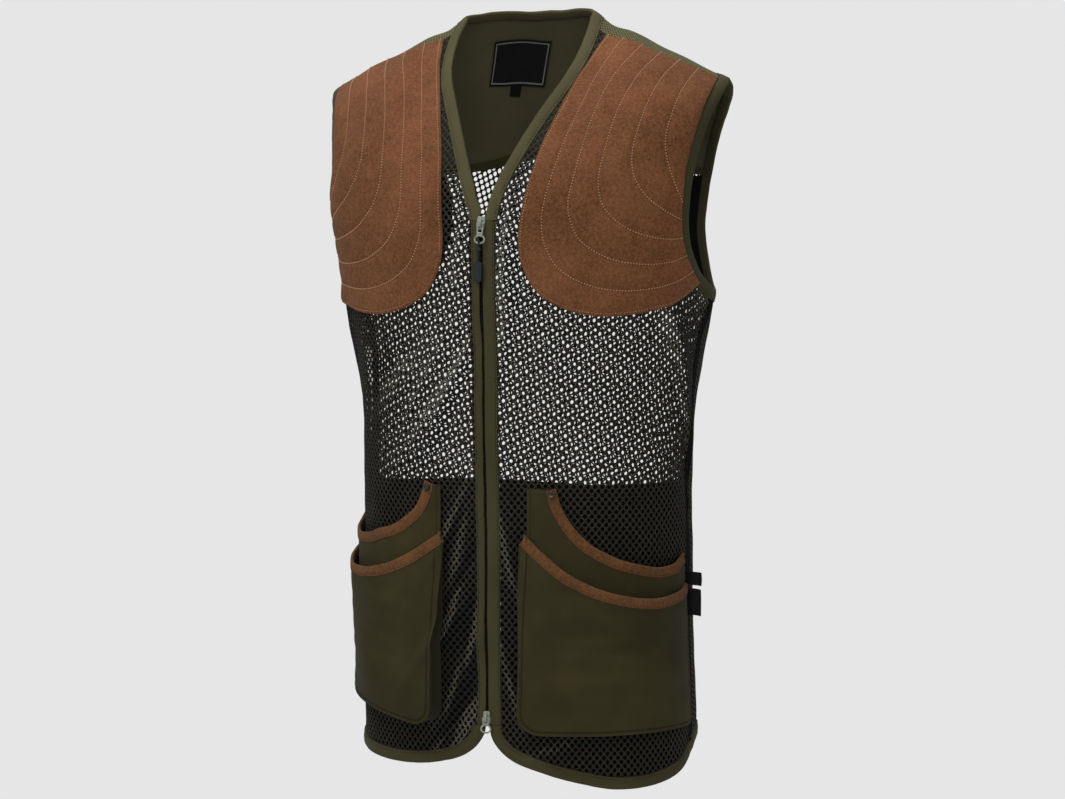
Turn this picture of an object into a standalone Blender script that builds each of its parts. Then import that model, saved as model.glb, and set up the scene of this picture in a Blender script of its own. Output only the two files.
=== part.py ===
"""A net shooting vest with suede shoulder pads, as worn: a hollow form with nobody in it.

The front faces -Y and the wearer's left is +X. Level 0 is at the top of the shoulders, where the vest is
held. A place on the cloth has two pattern sizes. "Across" runs along a ring from the centre line. "Reach"
climbs the front, goes over the shoulder and runs down the back. Every wall is made from such places, moved
out or in.
"""

import math
from collections import namedtuple

import bmesh
import bpy
import numpy as np
from mathutils import Matrix, Vector

# Levels of the worn form, in metres
CHEST_LEVEL = -0.185
REACH_PER_TURN = 0.150
RIDGE_REACH = CHEST_LEVEL + REACH_PER_TURN * math.pi / 2
NUDGE = 0.0006

Section = namedtuple(
    "Section", "level half_width front_depth back_depth front_square back_square sway slide"
)
SECTIONS = (
    Section(-0.760, 0.168, 0.113, 0.112, 2.35, 2.30, 0.001, 0.0040),
    Section(-0.660, 0.167, 0.114, 0.110, 2.35, 2.30, 0.000, 0.0040),
    Section(-0.560, 0.165, 0.114, 0.106, 2.35, 2.25, -0.001, 0.0040),
    Section(-0.460, 0.165, 0.115, 0.104, 2.40, 2.20, -0.001, 0.0040),
    Section(-0.380, 0.166, 0.119, 0.108, 2.45, 2.15, 0.000, 0.0030),
    Section(-0.310, 0.173, 0.123, 0.116, 2.55, 2.10, 0.002, 0.0020),
    Section(-0.265, 0.181, 0.125, 0.121, 2.65, 2.10, 0.002, 0.0010),
    Section(-0.220, 0.188, 0.124, 0.123, 2.75, 2.10, 0.001, 0.0010),
    Section(-0.185, 0.194, 0.123, 0.123, 2.80, 2.15, 0.000, 0.0025),
    Section(-0.100, 0.199, 0.121, 0.121, 2.80, 2.40, 0.000, 0.0055),
    Section(-0.050, 0.206, 0.120, 0.120, 2.80, 2.65, 0.000, 0.0045),
    Section(0.000, 0.215, 0.120, 0.120, 2.80, 2.80, 0.000, 0.0000),
)

# The shoulder line from the neck out, and how far each side of it hangs below a quarter round
Shoulder = namedtuple("Shoulder", "out height front_slack back_slack")
SHOULDERS = (
    Shoulder(0.000, 0.034, 1.00, 0.00),
    Shoulder(0.040, 0.026, 1.00, 0.00),
    Shoulder(0.070, 0.008, 1.00, 0.05),
    Shoulder(0.085, -0.002, 0.90, 0.10),
    Shoulder(0.110, -0.011, 0.55, 0.20),
    Shoulder(0.140, -0.026, 0.30, 0.20),
    Shoulder(0.190, -0.050, 0.15, 0.15),
    Shoulder(0.220, -0.064, 0.12, 0.12),
)

# The largest soft folds: where, which way they run, their half length, half width and height
Fold = namedtuple("Fold", "across reach lean length width height")
FOLDS = (
    Fold(-0.060, -0.385, 40, 0.070, 0.014, 0.0034),
    Fold(-0.105, -0.330, 52, 0.060, 0.016, -0.0030),
    Fold(-0.035, -0.570, 12, 0.110, 0.009, 0.0030),
    Fold(-0.020, -0.650, 28, 0.060, 0.010, -0.0024),
    Fold(0.032, -0.520, -8, 0.100, 0.009, 0.0032),
    Fold(0.028, -0.240, 4, 0.060, 0.008, 0.0030),
    Fold(0.085, -0.350, -30, 0.075, 0.016, 0.0030),
    Fold(0.150, -0.360, -42, 0.070, 0.015, -0.0030),
    Fold(0.205, -0.330, -20, 0.085, 0.014, 0.0040),
    Fold(-0.205, -0.330, 20, 0.085, 0.014, 0.0040),
    Fold(-0.120, 0.460, 35, 0.110, 0.020, 0.0045),
    Fold(0.130, 0.500, -32, 0.120, 0.021, 0.0048),
    Fold(0.010, 0.620, 6, 0.140, 0.024, -0.0040),
    Fold(-0.070, 0.700, -10, 0.110, 0.018, 0.0040),
    Fold(0.085, 0.710, 12, 0.100, 0.018, 0.0040),
    Fold(0.2530, -0.2680, 0, 0.022, 0.018, 0.0060),
    Fold(0.2505, 0.3692, 0, 0.022, 0.018, 0.0060),
    Fold(-0.2530, -0.2680, 0, 0.022, 0.018, 0.0050),
    Fold(-0.2505, 0.3692, 0, 0.022, 0.018, 0.0050),
)

# Cloth and trim thicknesses, and the spaces between them
SEAM = 0.0003
TAPE_GAP = 0.0007
SHOULDER_GAP = 0.0010
CLOTH = 0.0014
LINING = 0.0012
LINING_GAP = 0.0008
PAD_GAP = 0.0012
PAD = 0.0016
QUILT = 0.0012
TAPE = 0.0024
TAPE_OUT = 0.0005

# Widths of the edge tapes
NECK_TAPE = 0.0105
ARM_TAPE = 0.0115
HEM_TAPE = 0.0102

# The zip and the strips beside it
ZIP_TOP = -0.1900
ZIP_FOOT = -0.6720
CHAIN_HALF = 0.0010
CHAIN_OUT = 0.0002
STRIP_START = 0.0014
STRIP_RIGHT = 0.0096
STRIP_LEFT = 0.0142
ZIP_TAPE_HALF = 0.0125
ZIP_TAPE = 0.0010
ZIP_TAPE_GAP = 0.0009

# The neck's sewing line, from the zip up to the shoulder seam, then round the back
Edge = namedtuple("Edge", "across reach")
NECK_FRONT = (
    Edge(0.0207, -0.1610),
    Edge(0.0385, -0.1130),
    Edge(0.0550, -0.0710),
    Edge(0.0700, -0.0330),
    Edge(0.0780, -0.0050),
    Edge(0.0818, 0.0190),
    Edge(0.0828, 0.0365),
)
NECK_OVER = (
    Edge(0.0828, 0.0365),
    Edge(0.0826, 0.0480),
    Edge(0.0800, 0.0600),
    Edge(0.0690, 0.0810),
    Edge(0.0480, 0.1030),
    Edge(0.0240, 0.1170),
    Edge(0.0000, 0.1210),
)

# The seam in front of the shoulder line, from the neck to the arm
SHOULDER_SEAM = (
    Edge(0.0828, 0.0365),
    Edge(0.1050, 0.0315),
    Edge(0.1400, 0.0255),
    Edge(0.1750, 0.0235),
)
SEAM_AT_ARM = 0.0250

# The armhole's sewing line: degrees past the side, and level, up the front and then down the back
Arm = namedtuple("Arm", "past level")
ARM_UP = (
    Arm(0.0, -0.2660),
    Arm(-8.0, -0.2520),
    Arm(-17.0, -0.2310),
    Arm(-23.0, -0.2090),
    Arm(-26.5, -0.1820),
    Arm(-27.5, -0.1500),
    Arm(-27.0, -0.0950),
    Arm(-26.5, -0.0400),
    Arm(-26.0, 0.0110),
)
ARM_DOWN = (
    Arm(28.0, 0.0120),
    Arm(31.0, -0.0400),
    Arm(36.0, -0.0950),
    Arm(40.5, -0.1500),
    Arm(42.0, -0.1820),
    Arm(39.5, -0.2130),
    Arm(33.0, -0.2400),
    Arm(24.0, -0.2590),
    Arm(12.0, -0.2680),
    Arm(0.1, -0.2660),
)
YOKE_LEVEL = -0.1400

# The hem's outer edge: length from the zip, and the level on the wearer's right and left
Hem = namedtuple("Hem", "across right left")
HEM_FRONT = (
    Hem(0.0014, -0.6720, -0.6720),
    Hem(0.0050, -0.6850, -0.6860),
    Hem(0.0160, -0.6970, -0.6990),
    Hem(0.0330, -0.7060, -0.7090),
    Hem(0.0620, -0.7130, -0.7180),
    Hem(0.0950, -0.7160, -0.7260),
    Hem(0.1300, -0.7150, -0.7310),
    Hem(0.1700, -0.7110, -0.7280),
    Hem(0.2020, -0.7060, -0.7200),
    Hem(0.2190, -0.7000, -0.7110),
    Hem(0.2300, -0.6940, -0.7030),
)
HEM_BACK = (
    Hem(0.0000, -0.7160, -0.7160),
    Hem(0.0900, -0.7100, -0.7100),
    Hem(0.1500, -0.7000, -0.6990),
    Hem(0.1850, -0.6940, -0.6920),
    Hem(0.2120, -0.6930, -0.6950),
    Hem(0.2300, -0.6940, -0.7030),
)

# How fast the hem's curve dies away up the back, and how far the back's rows sag between its sides
HEM_EASE = 5.0
BACK_SAG = 0.0150

# Rows and columns of the panels
FRONT_COLUMNS = 13
SEAM_ROWS = 15
V_ROWS = 3
NECK_ROWS = 9
ARM_OVER_ROWS = 8
ARM_BACK_ROWS = 8
SHOULDER_COLUMNS = 4
NECK_COLUMNS = 6

# The dark lining inside each lower front
LINING_ROW = 9
LINING_TOPS = (Edge(0.000, -0.4360), Edge(0.070, -0.4390), Edge(0.110, -0.4410), Edge(0.240, -0.4410))

# The shoulder pad's rounded edge on the chest, from the shoulder seam down and out to the armhole
PAD_EDGE = (
    Edge(0.0925, 0.0325),
    Edge(0.0888, 0.0200),
    Edge(0.0818, -0.0050),
    Edge(0.0692, -0.0430),
    Edge(0.0587, -0.0825),
    Edge(0.0495, -0.1220),
    Edge(0.0420, -0.1750),
    Edge(0.0390, -0.2120),
    Edge(0.0430, -0.2360),
    Edge(0.0570, -0.2600),
    Edge(0.0830, -0.2750),
    Edge(0.1150, -0.2815),
    Edge(0.1540, -0.2785),
    Edge(0.1960, -0.2670),
)
PAD_FOOT_LEVEL = -0.2520
PAD_CORE_LEVEL = -0.155
PAD_COLUMNS = 22
QUILT_CHANNELS = 6

# Pockets: their edges in pattern sizes, and how far they stand out
POCKET_INNER = 0.0450
POCKET_OUTER = 0.2120
POCKET_BOTTOM = -0.6760
POCKET_CORNER = 0.0200
POCKET_CLOTH = 0.0012
POCKET_GAP = 0.0008
BACK_LAYER_TOP = -0.4450
RIM_TAPE = 0.0100
RIM_TAPE_OUT = 0.0006
Rim = namedtuple("Rim", "right left reach")
BACK_RIM = (
    Rim(0.0640, 0.0752, -0.4440),
    Rim(0.0668, 0.0780, -0.4560),
    Rim(0.0728, 0.0842, -0.4702),
    Rim(0.0850, 0.0934, -0.4835),
    Rim(0.1010, 0.1057, -0.4961),
    Rim(0.1180, 0.1180, -0.5040),
    Rim(0.1317, 0.1317, -0.5112),
    Rim(0.1506, 0.1506, -0.5168),
    Rim(0.1692, 0.1692, -0.5202),
    Rim(0.1930, 0.1930, -0.5178),
    Rim(0.2120, 0.2120, -0.5100),
)
FRONT_RIM = (
    Edge(0.0450, -0.4875),
    Edge(0.0551, -0.4975),
    Edge(0.0668, -0.5078),
    Edge(0.0786, -0.5180),
    Edge(0.0930, -0.5280),
    Edge(0.1080, -0.5360),
    Edge(0.1240, -0.5422),
    Edge(0.1469, -0.5475),
    Edge(0.1660, -0.5480),
    Edge(0.1910, -0.5445),
    Edge(0.2120, -0.5400),
)

# How each pocket hangs: how far its inner and outer edges lie aside, and how far its outer edge is raised
Hang = namedtuple("Hang", "inner_foot inner_top outer_foot outer_top rise")
POCKET_HANGS = {
    "right": Hang(0.0020, 0.0, 0.0, 0.0, 0.0340),
    "left": Hang(-0.0075, -0.0040, 0.0090, -0.0045, 0.0),
}

# How far the layers stand off the vest: the front's inner edge from the foot up, then the other places
Stand = namedtuple("Stand", "rise inner")
FRONT_STANDS = (
    Stand(0.00, 0.0250),
    Stand(0.35, 0.0220),
    Stand(0.70, 0.0130),
    Stand(1.00, 0.0050),
)
FRONT_STAND_OUTER = 0.0045
FRONT_BELLY = 0.0140
BACK_STAND_EDGE = 0.0027
BACK_BELLY = 0.0065
POCKET_COLUMNS = 11
POCKET_ROWS = 8
RIVET_RADIUS = 0.0036
RIVET_HEIGHT = 0.0016
RIVET_RINGS = ((1.0, 0.0), (1.0, 0.45), (0.72, 0.85), (0.3, 1.0))

# Labels and side loops
LABEL_WIDTH = 0.0660
LABEL_HEIGHT = 0.0450
LABEL_ACROSS = -0.0415
LABEL_REACH = 0.1600
LABEL_LEAN = 21.0
LABEL_BOW = 0.0034
SIZE_TAB_WIDTH = 0.0125
SIZE_TAB_HEIGHT = 0.0090
LABEL_CLOTH = 0.0010
LABEL_GAP = 0.0012
SEAM_TAPE = 0.0080
LOOP_THICK = 0.0010
Loop = namedtuple("Loop", "name top bottom reach_out sag")
SIDE_LOOPS = (
    Loop("side_loop_upper", -0.5300, -0.5430, 0.0135, 0.0010),
    Loop("side_loop_lower", -0.5460, -0.5720, 0.0130, 0.0015),
)

# Zip sliders and their pulls
SLIDER_LENGTH = 0.0125
SLIDER_WIDE = 0.0084
SLIDER_NARROW = 0.0062
SLIDER_PLATE = 0.0016
SLIDER_OUT = 0.0009
BAIL_WIDTH = 0.0028
BAIL_LENGTH = 0.0076
BAIL_HEIGHT = 0.0040
BAIL_WALL = 0.0011
BAIL_BEND = 0.0010
BAIL_INNER_BEND = 0.0005
SLIDER_WAIST = 0.35
SLIDER_CORNER = 0.86
TOP_SLIDER_REACH = -0.1945
BOTTOM_SLIDER_REACH = -0.6650
PULL_THICK = 0.0012
PULL_PLAY = 0.0005
TOP_PULL_LENGTH = 0.0155
BOTTOM_PULL_LENGTH = 0.0105
PULL_WIDTH = 0.0074
PULL_BAR = 0.0013
PULL_TAPER = 0.86
EYE_WIDTH = 0.0042
EYE_LENGTH = 0.0050
PULL_NECK = 0.0022
RING_OUTER = 0.0057
RING_INNER = 0.0042
RING_FLAT = 0.80
HOLE_FLAT = 0.68
CORD_RADIUS = 0.0008
CORD_APART = 0.0011
CORD_DROP = 0.0165
COLLAR_WALL = 0.0010
COLLAR_LENGTH = 0.0028
COLLAR_DROP = 0.0032
COLLAR_HOLE_BEND = 0.0003
GRIP_WIDTH = 0.0080
GRIP_LENGTH = 0.0190
GRIP_THICK = 0.0036
GRIP_CORNER = 0.0025


def clear_scene():
    for thing in list(bpy.data.objects):
        bpy.data.objects.remove(thing, do_unlink=True)


def smooth(table, column, at):
    """A column of a table read off at any value of its first column, with no overshoot."""
    key = table[0]._fields[0]
    rows = sorted(table, key=lambda row: getattr(row, key))
    xs = np.array([getattr(row, key) for row in rows])
    ys = np.array([getattr(row, column) for row in rows])
    widths = np.diff(xs)
    slopes = np.diff(ys) / widths
    tangents = np.zeros(len(ys))
    same = slopes[:-1] * slopes[1:] > 0
    mean = (slopes[:-1] * widths[1:] + slopes[1:] * widths[:-1]) / (widths[:-1] + widths[1:])
    tangents[1:-1] = np.where(same, mean, 0.0)
    tangents[0] = slopes[0]
    tangents[-1] = slopes[-1]
    at = np.clip(np.asarray(at, float), xs[0], xs[-1])
    i = np.clip(np.searchsorted(xs, at) - 1, 0, len(widths) - 1)
    w = widths[i]
    f = (at - xs[i]) / w
    rise = (2 * f**3 - 3 * f**2 + 1) * ys[i] + (3 * f**2 - 2 * f**3) * ys[i + 1]
    lean = (f**3 - 2 * f**2 + f) * tangents[i] + (f**3 - f**2) * tangents[i + 1]
    return rise + lean * w


def section_point(degrees, climb):
    """The worn form without folds, by degrees from the centre front and turns climbed above the chest."""
    angle = np.radians(degrees)
    up = np.clip(climb, 0, math.pi / 2)
    level = np.where(climb > 0, CHEST_LEVEL * (1 - np.sin(up)), CHEST_LEVEL + climb * REACH_PER_TURN)
    front = np.cos(angle) >= 0
    square_front, square_back = (smooth(SECTIONS, name, level) for name in ("front_square", "back_square"))
    square = np.where(front, square_front, square_back)
    depth = np.where(front, smooth(SECTIONS, "front_depth", level), smooth(SECTIONS, "back_depth", level))
    x = smooth(SECTIONS, "half_width", level) * np.abs(np.sin(angle)) ** (2 / square)
    y = -np.sign(np.cos(angle)) * depth * np.abs(np.cos(angle)) ** (2 / square) * np.cos(up)
    ridge = smooth(SHOULDERS, "height", x)
    slack = np.where(front, smooth(SHOULDERS, "front_slack", x), smooth(SHOULDERS, "back_slack", x))
    fall = (1 - slack) * (1 - np.sin(up)) + slack * (1 - 2 * up / math.pi)
    z = np.where(climb > 0, ridge - (ridge - CHEST_LEVEL) * fall, level)
    return x, y, z, smooth(SECTIONS, "sway", level)


def slide_at(climb):
    """How far the vest has slipped round the body here."""
    up = np.clip(climb, 0, math.pi / 2)
    level = np.where(climb > 0, CHEST_LEVEL * (1 - np.sin(up)), CHEST_LEVEL + climb * REACH_PER_TURN)
    return smooth(SECTIONS, "slide", level)


class RingTable:
    """Lengths along every ring of the form, so that pattern sizes can be laid on it."""

    def __init__(self):
        self.climbs = np.linspace(-3.95, math.pi / 2, 240)
        self.degrees = np.linspace(0, 180, 361)
        self.middle = len(self.degrees) // 2
        degrees, climbs = np.meshgrid(self.degrees, self.climbs)
        x, y, z, _ = section_point(degrees, climbs)
        steps = np.sqrt(np.diff(x) ** 2 + np.diff(y) ** 2 + np.diff(z) ** 2)
        self.lengths = np.concatenate([np.zeros((len(self.climbs), 1)), np.cumsum(steps, axis=1)], axis=1)
        self.front = self.lengths[:, self.middle]
        self.back = self.lengths[:, -1] - self.front
        shares = np.linspace(0, 1, 241)
        self.front_angles = np.array(
            [np.interp(shares * row[self.middle], row, self.degrees) for row in self.lengths]
        )
        self.back_angles = np.array([
            np.interp(row[-1] - shares * (row[-1] - row[self.middle]), row, self.degrees)
            for row in self.lengths
        ])

    def step(self, climb):
        gap = self.climbs[1] - self.climbs[0]
        place = np.clip((climb - self.climbs[0]) / gap, 0, len(self.climbs) - 1.001)
        low = place.astype(int)
        return low, place - low

    def quarter(self, climb, behind):
        low, part = self.step(climb)
        front = self.front[low] * (1 - part) + self.front[low + 1] * part
        back = self.back[low] * (1 - part) + self.back[low + 1] * part
        return np.where(behind, back, front)

    def read(self, table, climb, share):
        low, part = self.step(climb)
        place = np.clip(share * (table.shape[1] - 1), 0, table.shape[1] - 1.001)
        left = place.astype(int)
        f = place - left
        under = table[low, left] * (1 - f) + table[low, left + 1] * f
        over = table[low + 1, left] * (1 - f) + table[low + 1, left + 1] * f
        return under * (1 - part) + over * part

    def angle(self, climb, behind, share):
        back, front = (self.read(table, climb, share) for table in (self.back_angles, self.front_angles))
        return np.where(behind, back, front)

    def across(self, climb, degrees):
        """Length from the centre front, or from the centre back past the side, to this angle."""
        length = self.read(self.lengths, climb, np.asarray(degrees) / 180)
        total = self.quarter(climb, False) + self.quarter(climb, True)
        return np.where(np.asarray(degrees) > 90, total - length, length)


RINGS = RingTable()


def fold_height(across, reach):
    """How far the folds lift the cloth here."""
    height = np.zeros(np.broadcast(across, reach).shape)
    for fold in FOLDS:
        lean = math.radians(fold.lean)
        side = (across - fold.across) * math.cos(lean) - (reach - fold.reach) * math.sin(lean)
        along = (across - fold.across) * math.sin(lean) + (reach - fold.reach) * math.cos(lean)
        height += fold.height * np.exp(-((side / fold.width) ** 2) - (along / fold.length) ** 2)
    return height


def bare(across, reach):
    """The middle-of-cloth point at a place on the pattern, wrapped round the side past the quarter."""
    across, reach = np.broadcast_arrays(np.asarray(across, float), np.asarray(reach, float))
    turn = (reach - CHEST_LEVEL) / REACH_PER_TURN
    behind = turn > math.pi / 2
    climb = np.where(behind, math.pi - turn, turn)
    across = across + np.where(behind, -1, 1) * slide_at(climb)
    far = np.abs(across)
    quarter = RINGS.quarter(climb, behind)
    past = far > quarter
    other = RINGS.quarter(climb, ~behind)
    share = np.where(past, (quarter + other - far) / other, far / quarter)
    degrees = RINGS.angle(climb, behind ^ past, share)
    x, y, z, sway = section_point(degrees, climb)
    return np.stack([np.where(across < 0, -x, x) + sway, y, z], axis=-1)


def directions(across, reach):
    """How the face runs per unit of across and of reach."""
    sideways = (bare(across + NUDGE, reach) - bare(across - NUDGE, reach)) / (2 * NUDGE)
    upward = (bare(across, reach + NUDGE) - bare(across, reach - NUDGE)) / (2 * NUDGE)
    return sideways, upward


def outward(across, reach):
    """The face's unit normal, away from the hollow."""
    normal = np.cross(*directions(across, reach))
    return normal / np.linalg.norm(normal, axis=-1, keepdims=True)


def place(path, out=0.0):
    """Points of the worn cloth, moved out of its face."""
    path = np.asarray(path, float)
    across, reach = path[..., 0], path[..., 1]
    out = np.asarray(out, float) + fold_height(across, reach)
    return bare(across, reach) + outward(across, reach) * out[..., None]


def behind_level(level):
    """The reach of a level of the back."""
    return 2 * RIDGE_REACH - level


def curve(rows, count):
    """Evenly spaced points on a soft curve through a table's rows."""
    points = np.array([tuple(row)[:2] for row in rows], float)
    ends = np.concatenate([2 * points[:1] - points[1:2], points, 2 * points[-1:] - points[-2:-1]])
    dense = []
    for a, b, c, d in zip(ends, ends[1:], ends[2:], ends[3:]):
        for t in np.linspace(0, 1, 24, endpoint=False):
            straight = b + t * (c - a) / 2
            bent = t**2 * (a - 2.5 * b + 2 * c - d / 2) + t**3 * (1.5 * (b - c) + (d - a) / 2)
            dense.append(straight + bent)
    dense.append(points[-1])
    return along_line(np.array(dense), np.linspace(0, 1, count))


def along_line(line, shares):
    """Points at these shares of a line's length."""
    steps = np.linalg.norm(np.diff(line, axis=0), axis=1)
    length = np.concatenate([[0], np.cumsum(steps)])
    at = np.asarray(shares) * length[-1]
    return np.stack([np.interp(at, length, line[:, k]) for k in range(line.shape[1])], axis=1)


def inset(path, distance, closed=False):
    """A path moved sideways over the cloth, to the left of its direction seen from outside."""
    path = np.asarray(path, float)
    across, reach = path[:, 0], path[:, 1]
    sideways, upward = directions(across, reach)
    points = bare(across, reach)
    if closed:
        run = np.roll(points, -1, axis=0) - np.roll(points, 1, axis=0)
    else:
        run = np.gradient(points, axis=0)
    left = np.cross(np.cross(sideways, upward), run)
    left /= np.linalg.norm(left, axis=1, keepdims=True)
    moved = []
    for a, b, way in zip(sideways, upward, left):
        moved.append(np.linalg.lstsq(np.stack([a, b], axis=1), way * distance, rcond=None)[0])
    return path + np.array(moved)


def patch(bottom, top, left, right, ease=1.0):
    """A grid of places between four edges, rows from bottom to top; ease makes the top's shape die away."""
    bottom, top, left, right = (np.asarray(edge, float) for edge in (bottom, top, left, right))
    u = np.linspace(0, 1, len(bottom))[None, :, None]
    v = np.linspace(0, 1, len(left))[:, None, None]
    sides = (1 - u) * left[:, None] + u * right[:, None]
    low = (1 - u) * bottom[0] + u * bottom[-1]
    high = (1 - u) * top[0] + u * top[-1]
    return sides + (1 - v) * (bottom[None] - low) + v**ease * (top[None] - high)


def on_side(path, side):
    """A path or grid drawn for the wearer's left, put on either side."""
    path = np.array(path, float)
    path[..., 0] *= side
    return path


def finish_mesh(name, points, faces, material, smooth_angle=35):
    mesh = bpy.data.meshes.new(name)
    mesh.from_pydata([tuple(p) for p in points], [], faces)
    built = bmesh.new()
    built.from_mesh(mesh)
    bmesh.ops.recalc_face_normals(built, faces=built.faces)
    built.to_mesh(mesh)
    built.free()
    mesh.materials.append(material)
    mesh.shade_smooth()
    mesh.set_sharp_from_angle(angle=math.radians(smooth_angle))
    made = bpy.data.objects.new(name, mesh)
    bpy.context.collection.objects.link(made)
    return made


def wall(name, grid, low, high, material):
    """A closed wall over a grid of places, between two heights above the face."""
    rows, columns = grid.shape[:2]
    points = np.concatenate([place(grid, high).reshape(-1, 3), place(grid, low).reshape(-1, 3)])
    size = rows * columns
    faces = []
    for i in range(rows - 1):
        for j in range(columns - 1):
            a, b = i * columns + j, i * columns + j + 1
            c, d = b + columns, a + columns
            faces += [(a, b, c), (a, c, d), (size + c, size + b, size + a), (size + d, size + c, size + a)]
    rim = [(0, j) for j in range(columns)] + [(i, columns - 1) for i in range(1, rows)]
    rim += [(rows - 1, j) for j in range(columns - 2, -1, -1)] + [(i, 0) for i in range(rows - 2, 0, -1)]
    ring = [i * columns + j for i, j in rim]
    for a, b in zip(ring, ring[1:] + ring[:1]):
        faces.append((b, a, size + a, size + b))
    return finish_mesh(name, points, faces, material)


def band(name, loops, material, closed=False):
    """A solid swept along a path: one loop of points for each step."""
    count, around = len(loops), len(loops[0])
    points = np.concatenate(loops)
    faces = []
    for i in range(count if closed else count - 1):
        for j in range(around):
            a, b = i * around + j, i * around + (j + 1) % around
            c, d = ((i + 1) % count) * around + (j + 1) % around, ((i + 1) % count) * around + j
            faces.append((a, b, c, d))
    if not closed:
        faces.append(tuple(range(around)))
        faces.append(tuple(range((count - 1) * around, count * around)))
    return finish_mesh(name, points, faces, material)


def edging(name, near, far, low, high, material, closed=False):
    """A flat tape between two paths, its far edge rounded over."""
    near, far = np.asarray(near, float), np.asarray(far, float)
    soft = 0.85
    shoulder = near + (far - near) * soft
    quarter = (high - low) / 4
    rows = [
        place(near, low),
        place(near, high),
        place(shoulder, high),
        place(far, high - quarter),
        place(far, low + quarter),
        place(shoulder, low),
    ]
    return band(name, [np.array(loop) for loop in zip(*rows)], material, closed)


def material(name, colour, roughness, metallic=0.0):
    made = bpy.data.materials.new(name)
    made.use_nodes = True
    shader = made.node_tree.nodes["Principled BSDF"]
    shader.inputs["Base Color"].default_value = (*colour, 1)
    shader.inputs["Roughness"].default_value = roughness
    shader.inputs["Metallic"].default_value = metallic
    made.diffuse_color = (*colour, 1)
    return made


def climb_of(level):
    return np.asarray((level - CHEST_LEVEL) / REACH_PER_TURN, float)


def arm_line():
    """The armhole's sewing line, from the side seam up the front, over the shoulder and down the back."""
    rows = [Edge(float(RINGS.across(climb_of(row.level), 90 + row.past)), row.level) for row in ARM_UP]
    for row in ARM_DOWN:
        rows.append(Edge(float(RINGS.across(climb_of(row.level), 90 + row.past)), behind_level(row.level)))
    return curve(rows, 400)


def between(line, start, end, count):
    """Evenly spaced points of a line whose reach always grows, between two reaches."""
    shares = np.linspace(0, 1, len(line))
    low, high = np.interp([start, end], line[:, 1], shares)
    inner = shares[(shares > low) & (shares < high)]
    keep = np.concatenate([[low], inner, [high]])
    part = np.stack([np.interp(keep, shares, line[:, k]) for k in range(2)], axis=1)
    return along_line(part, np.linspace(0, 1, count))


class Side:
    """The sewing lines of one side, drawn for the wearer's left."""

    def __init__(self, side):
        self.side = side
        self.name = "left" if side > 0 else "right"
        self.strip = STRIP_LEFT if side > 0 else STRIP_RIGHT
        arm = arm_line()
        self.side_level = ARM_UP[0].level
        low = int(np.argmin(arm[: len(arm) // 3, 1]))
        peak = int(np.argmax(arm[:, 1]))
        rising = arm[low : peak + 1]
        self.arm_front = between(rising, self.side_level, SEAM_AT_ARM, V_ROWS + NECK_ROWS + 1)
        self.arm_over = between(rising, SEAM_AT_ARM, behind_level(YOKE_LEVEL), ARM_OVER_ROWS + 1)
        self.arm_back = self.under_arm(arm, behind_level(YOKE_LEVEL))
        self.neck_front = curve((Edge(self.strip, ZIP_TOP),) + NECK_FRONT, NECK_ROWS + 1)
        self.neck_over = curve(NECK_OVER, NECK_COLUMNS + 1)
        self.neck = np.concatenate([self.neck_front, self.neck_over[1:]])
        self.neck_edge = inset(self.neck, NECK_TAPE)
        self.neck_edge[0] = (STRIP_START, ZIP_TOP)
        self.neck_edge[-1, 0] = 0
        self.shoulder = curve(SHOULDER_SEAM + (Edge(*self.arm_front[-1]),), SHOULDER_COLUMNS + 1)
        self.hem_front = self.hem(HEM_FRONT, False)
        self.hem_back = self.hem(HEM_BACK, True)
        self.hem_front_sewn = inset(self.hem_front, HEM_TAPE)
        self.hem_front_sewn[0] = (self.strip, ZIP_FOOT)
        self.hem_back_sewn = inset(self.hem_back, -HEM_TAPE)
        self.hem_back_sewn[0, 0] = 0
        corner = behind_level(self.hem_back_sewn[-1, 1])
        self.hem_back_sewn[-1, 0] = RINGS.quarter(climb_of(corner), True)
        self.hem_front_sewn[-1] = (RINGS.quarter(climb_of(corner), False), corner)
        self.seam_levels = np.linspace(self.hem_front_sewn[-1, 1], self.side_level, SEAM_ROWS + 1)

    def under_arm(self, arm, start):
        first = int(np.argmax(arm[:, 1] > start))
        return along_line(arm[first - 1 :], np.linspace(0, 1, ARM_BACK_ROWS + 1))

    def hem(self, rows, behind):
        levels = [Edge(row.across, getattr(row, self.name)) for row in rows]
        end = levels[-1].reach
        levels[-1] = Edge(float(RINGS.quarter(climb_of(end), behind)), end)
        if behind:
            levels = [Edge(row.across, behind_level(row.reach)) for row in levels]
        return curve(levels, (SHOULDER_COLUMNS + NECK_COLUMNS if behind else FRONT_COLUMNS) + 1)

    def seam_front(self):
        levels = self.seam_levels
        return np.stack([RINGS.quarter(climb_of(levels), False) - SEAM / 2, levels], axis=1)

    def seam_back(self):
        levels = self.seam_levels
        return np.stack([RINGS.quarter(climb_of(levels), True) - SEAM / 2, behind_level(levels)], axis=1)

    def centre_edge(self):
        """The front panel's edge beside the strip, then beside the neck tape."""
        low = np.linspace(ZIP_FOOT, self.side_level, SEAM_ROWS + 1)
        high = np.linspace(self.side_level, ZIP_TOP, V_ROWS + 1)[1:]
        levels = np.concatenate([low, high])
        straight = np.stack([np.full(len(levels), self.strip), levels], axis=1)
        return np.concatenate([straight, self.neck_front[1:]])


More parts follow.
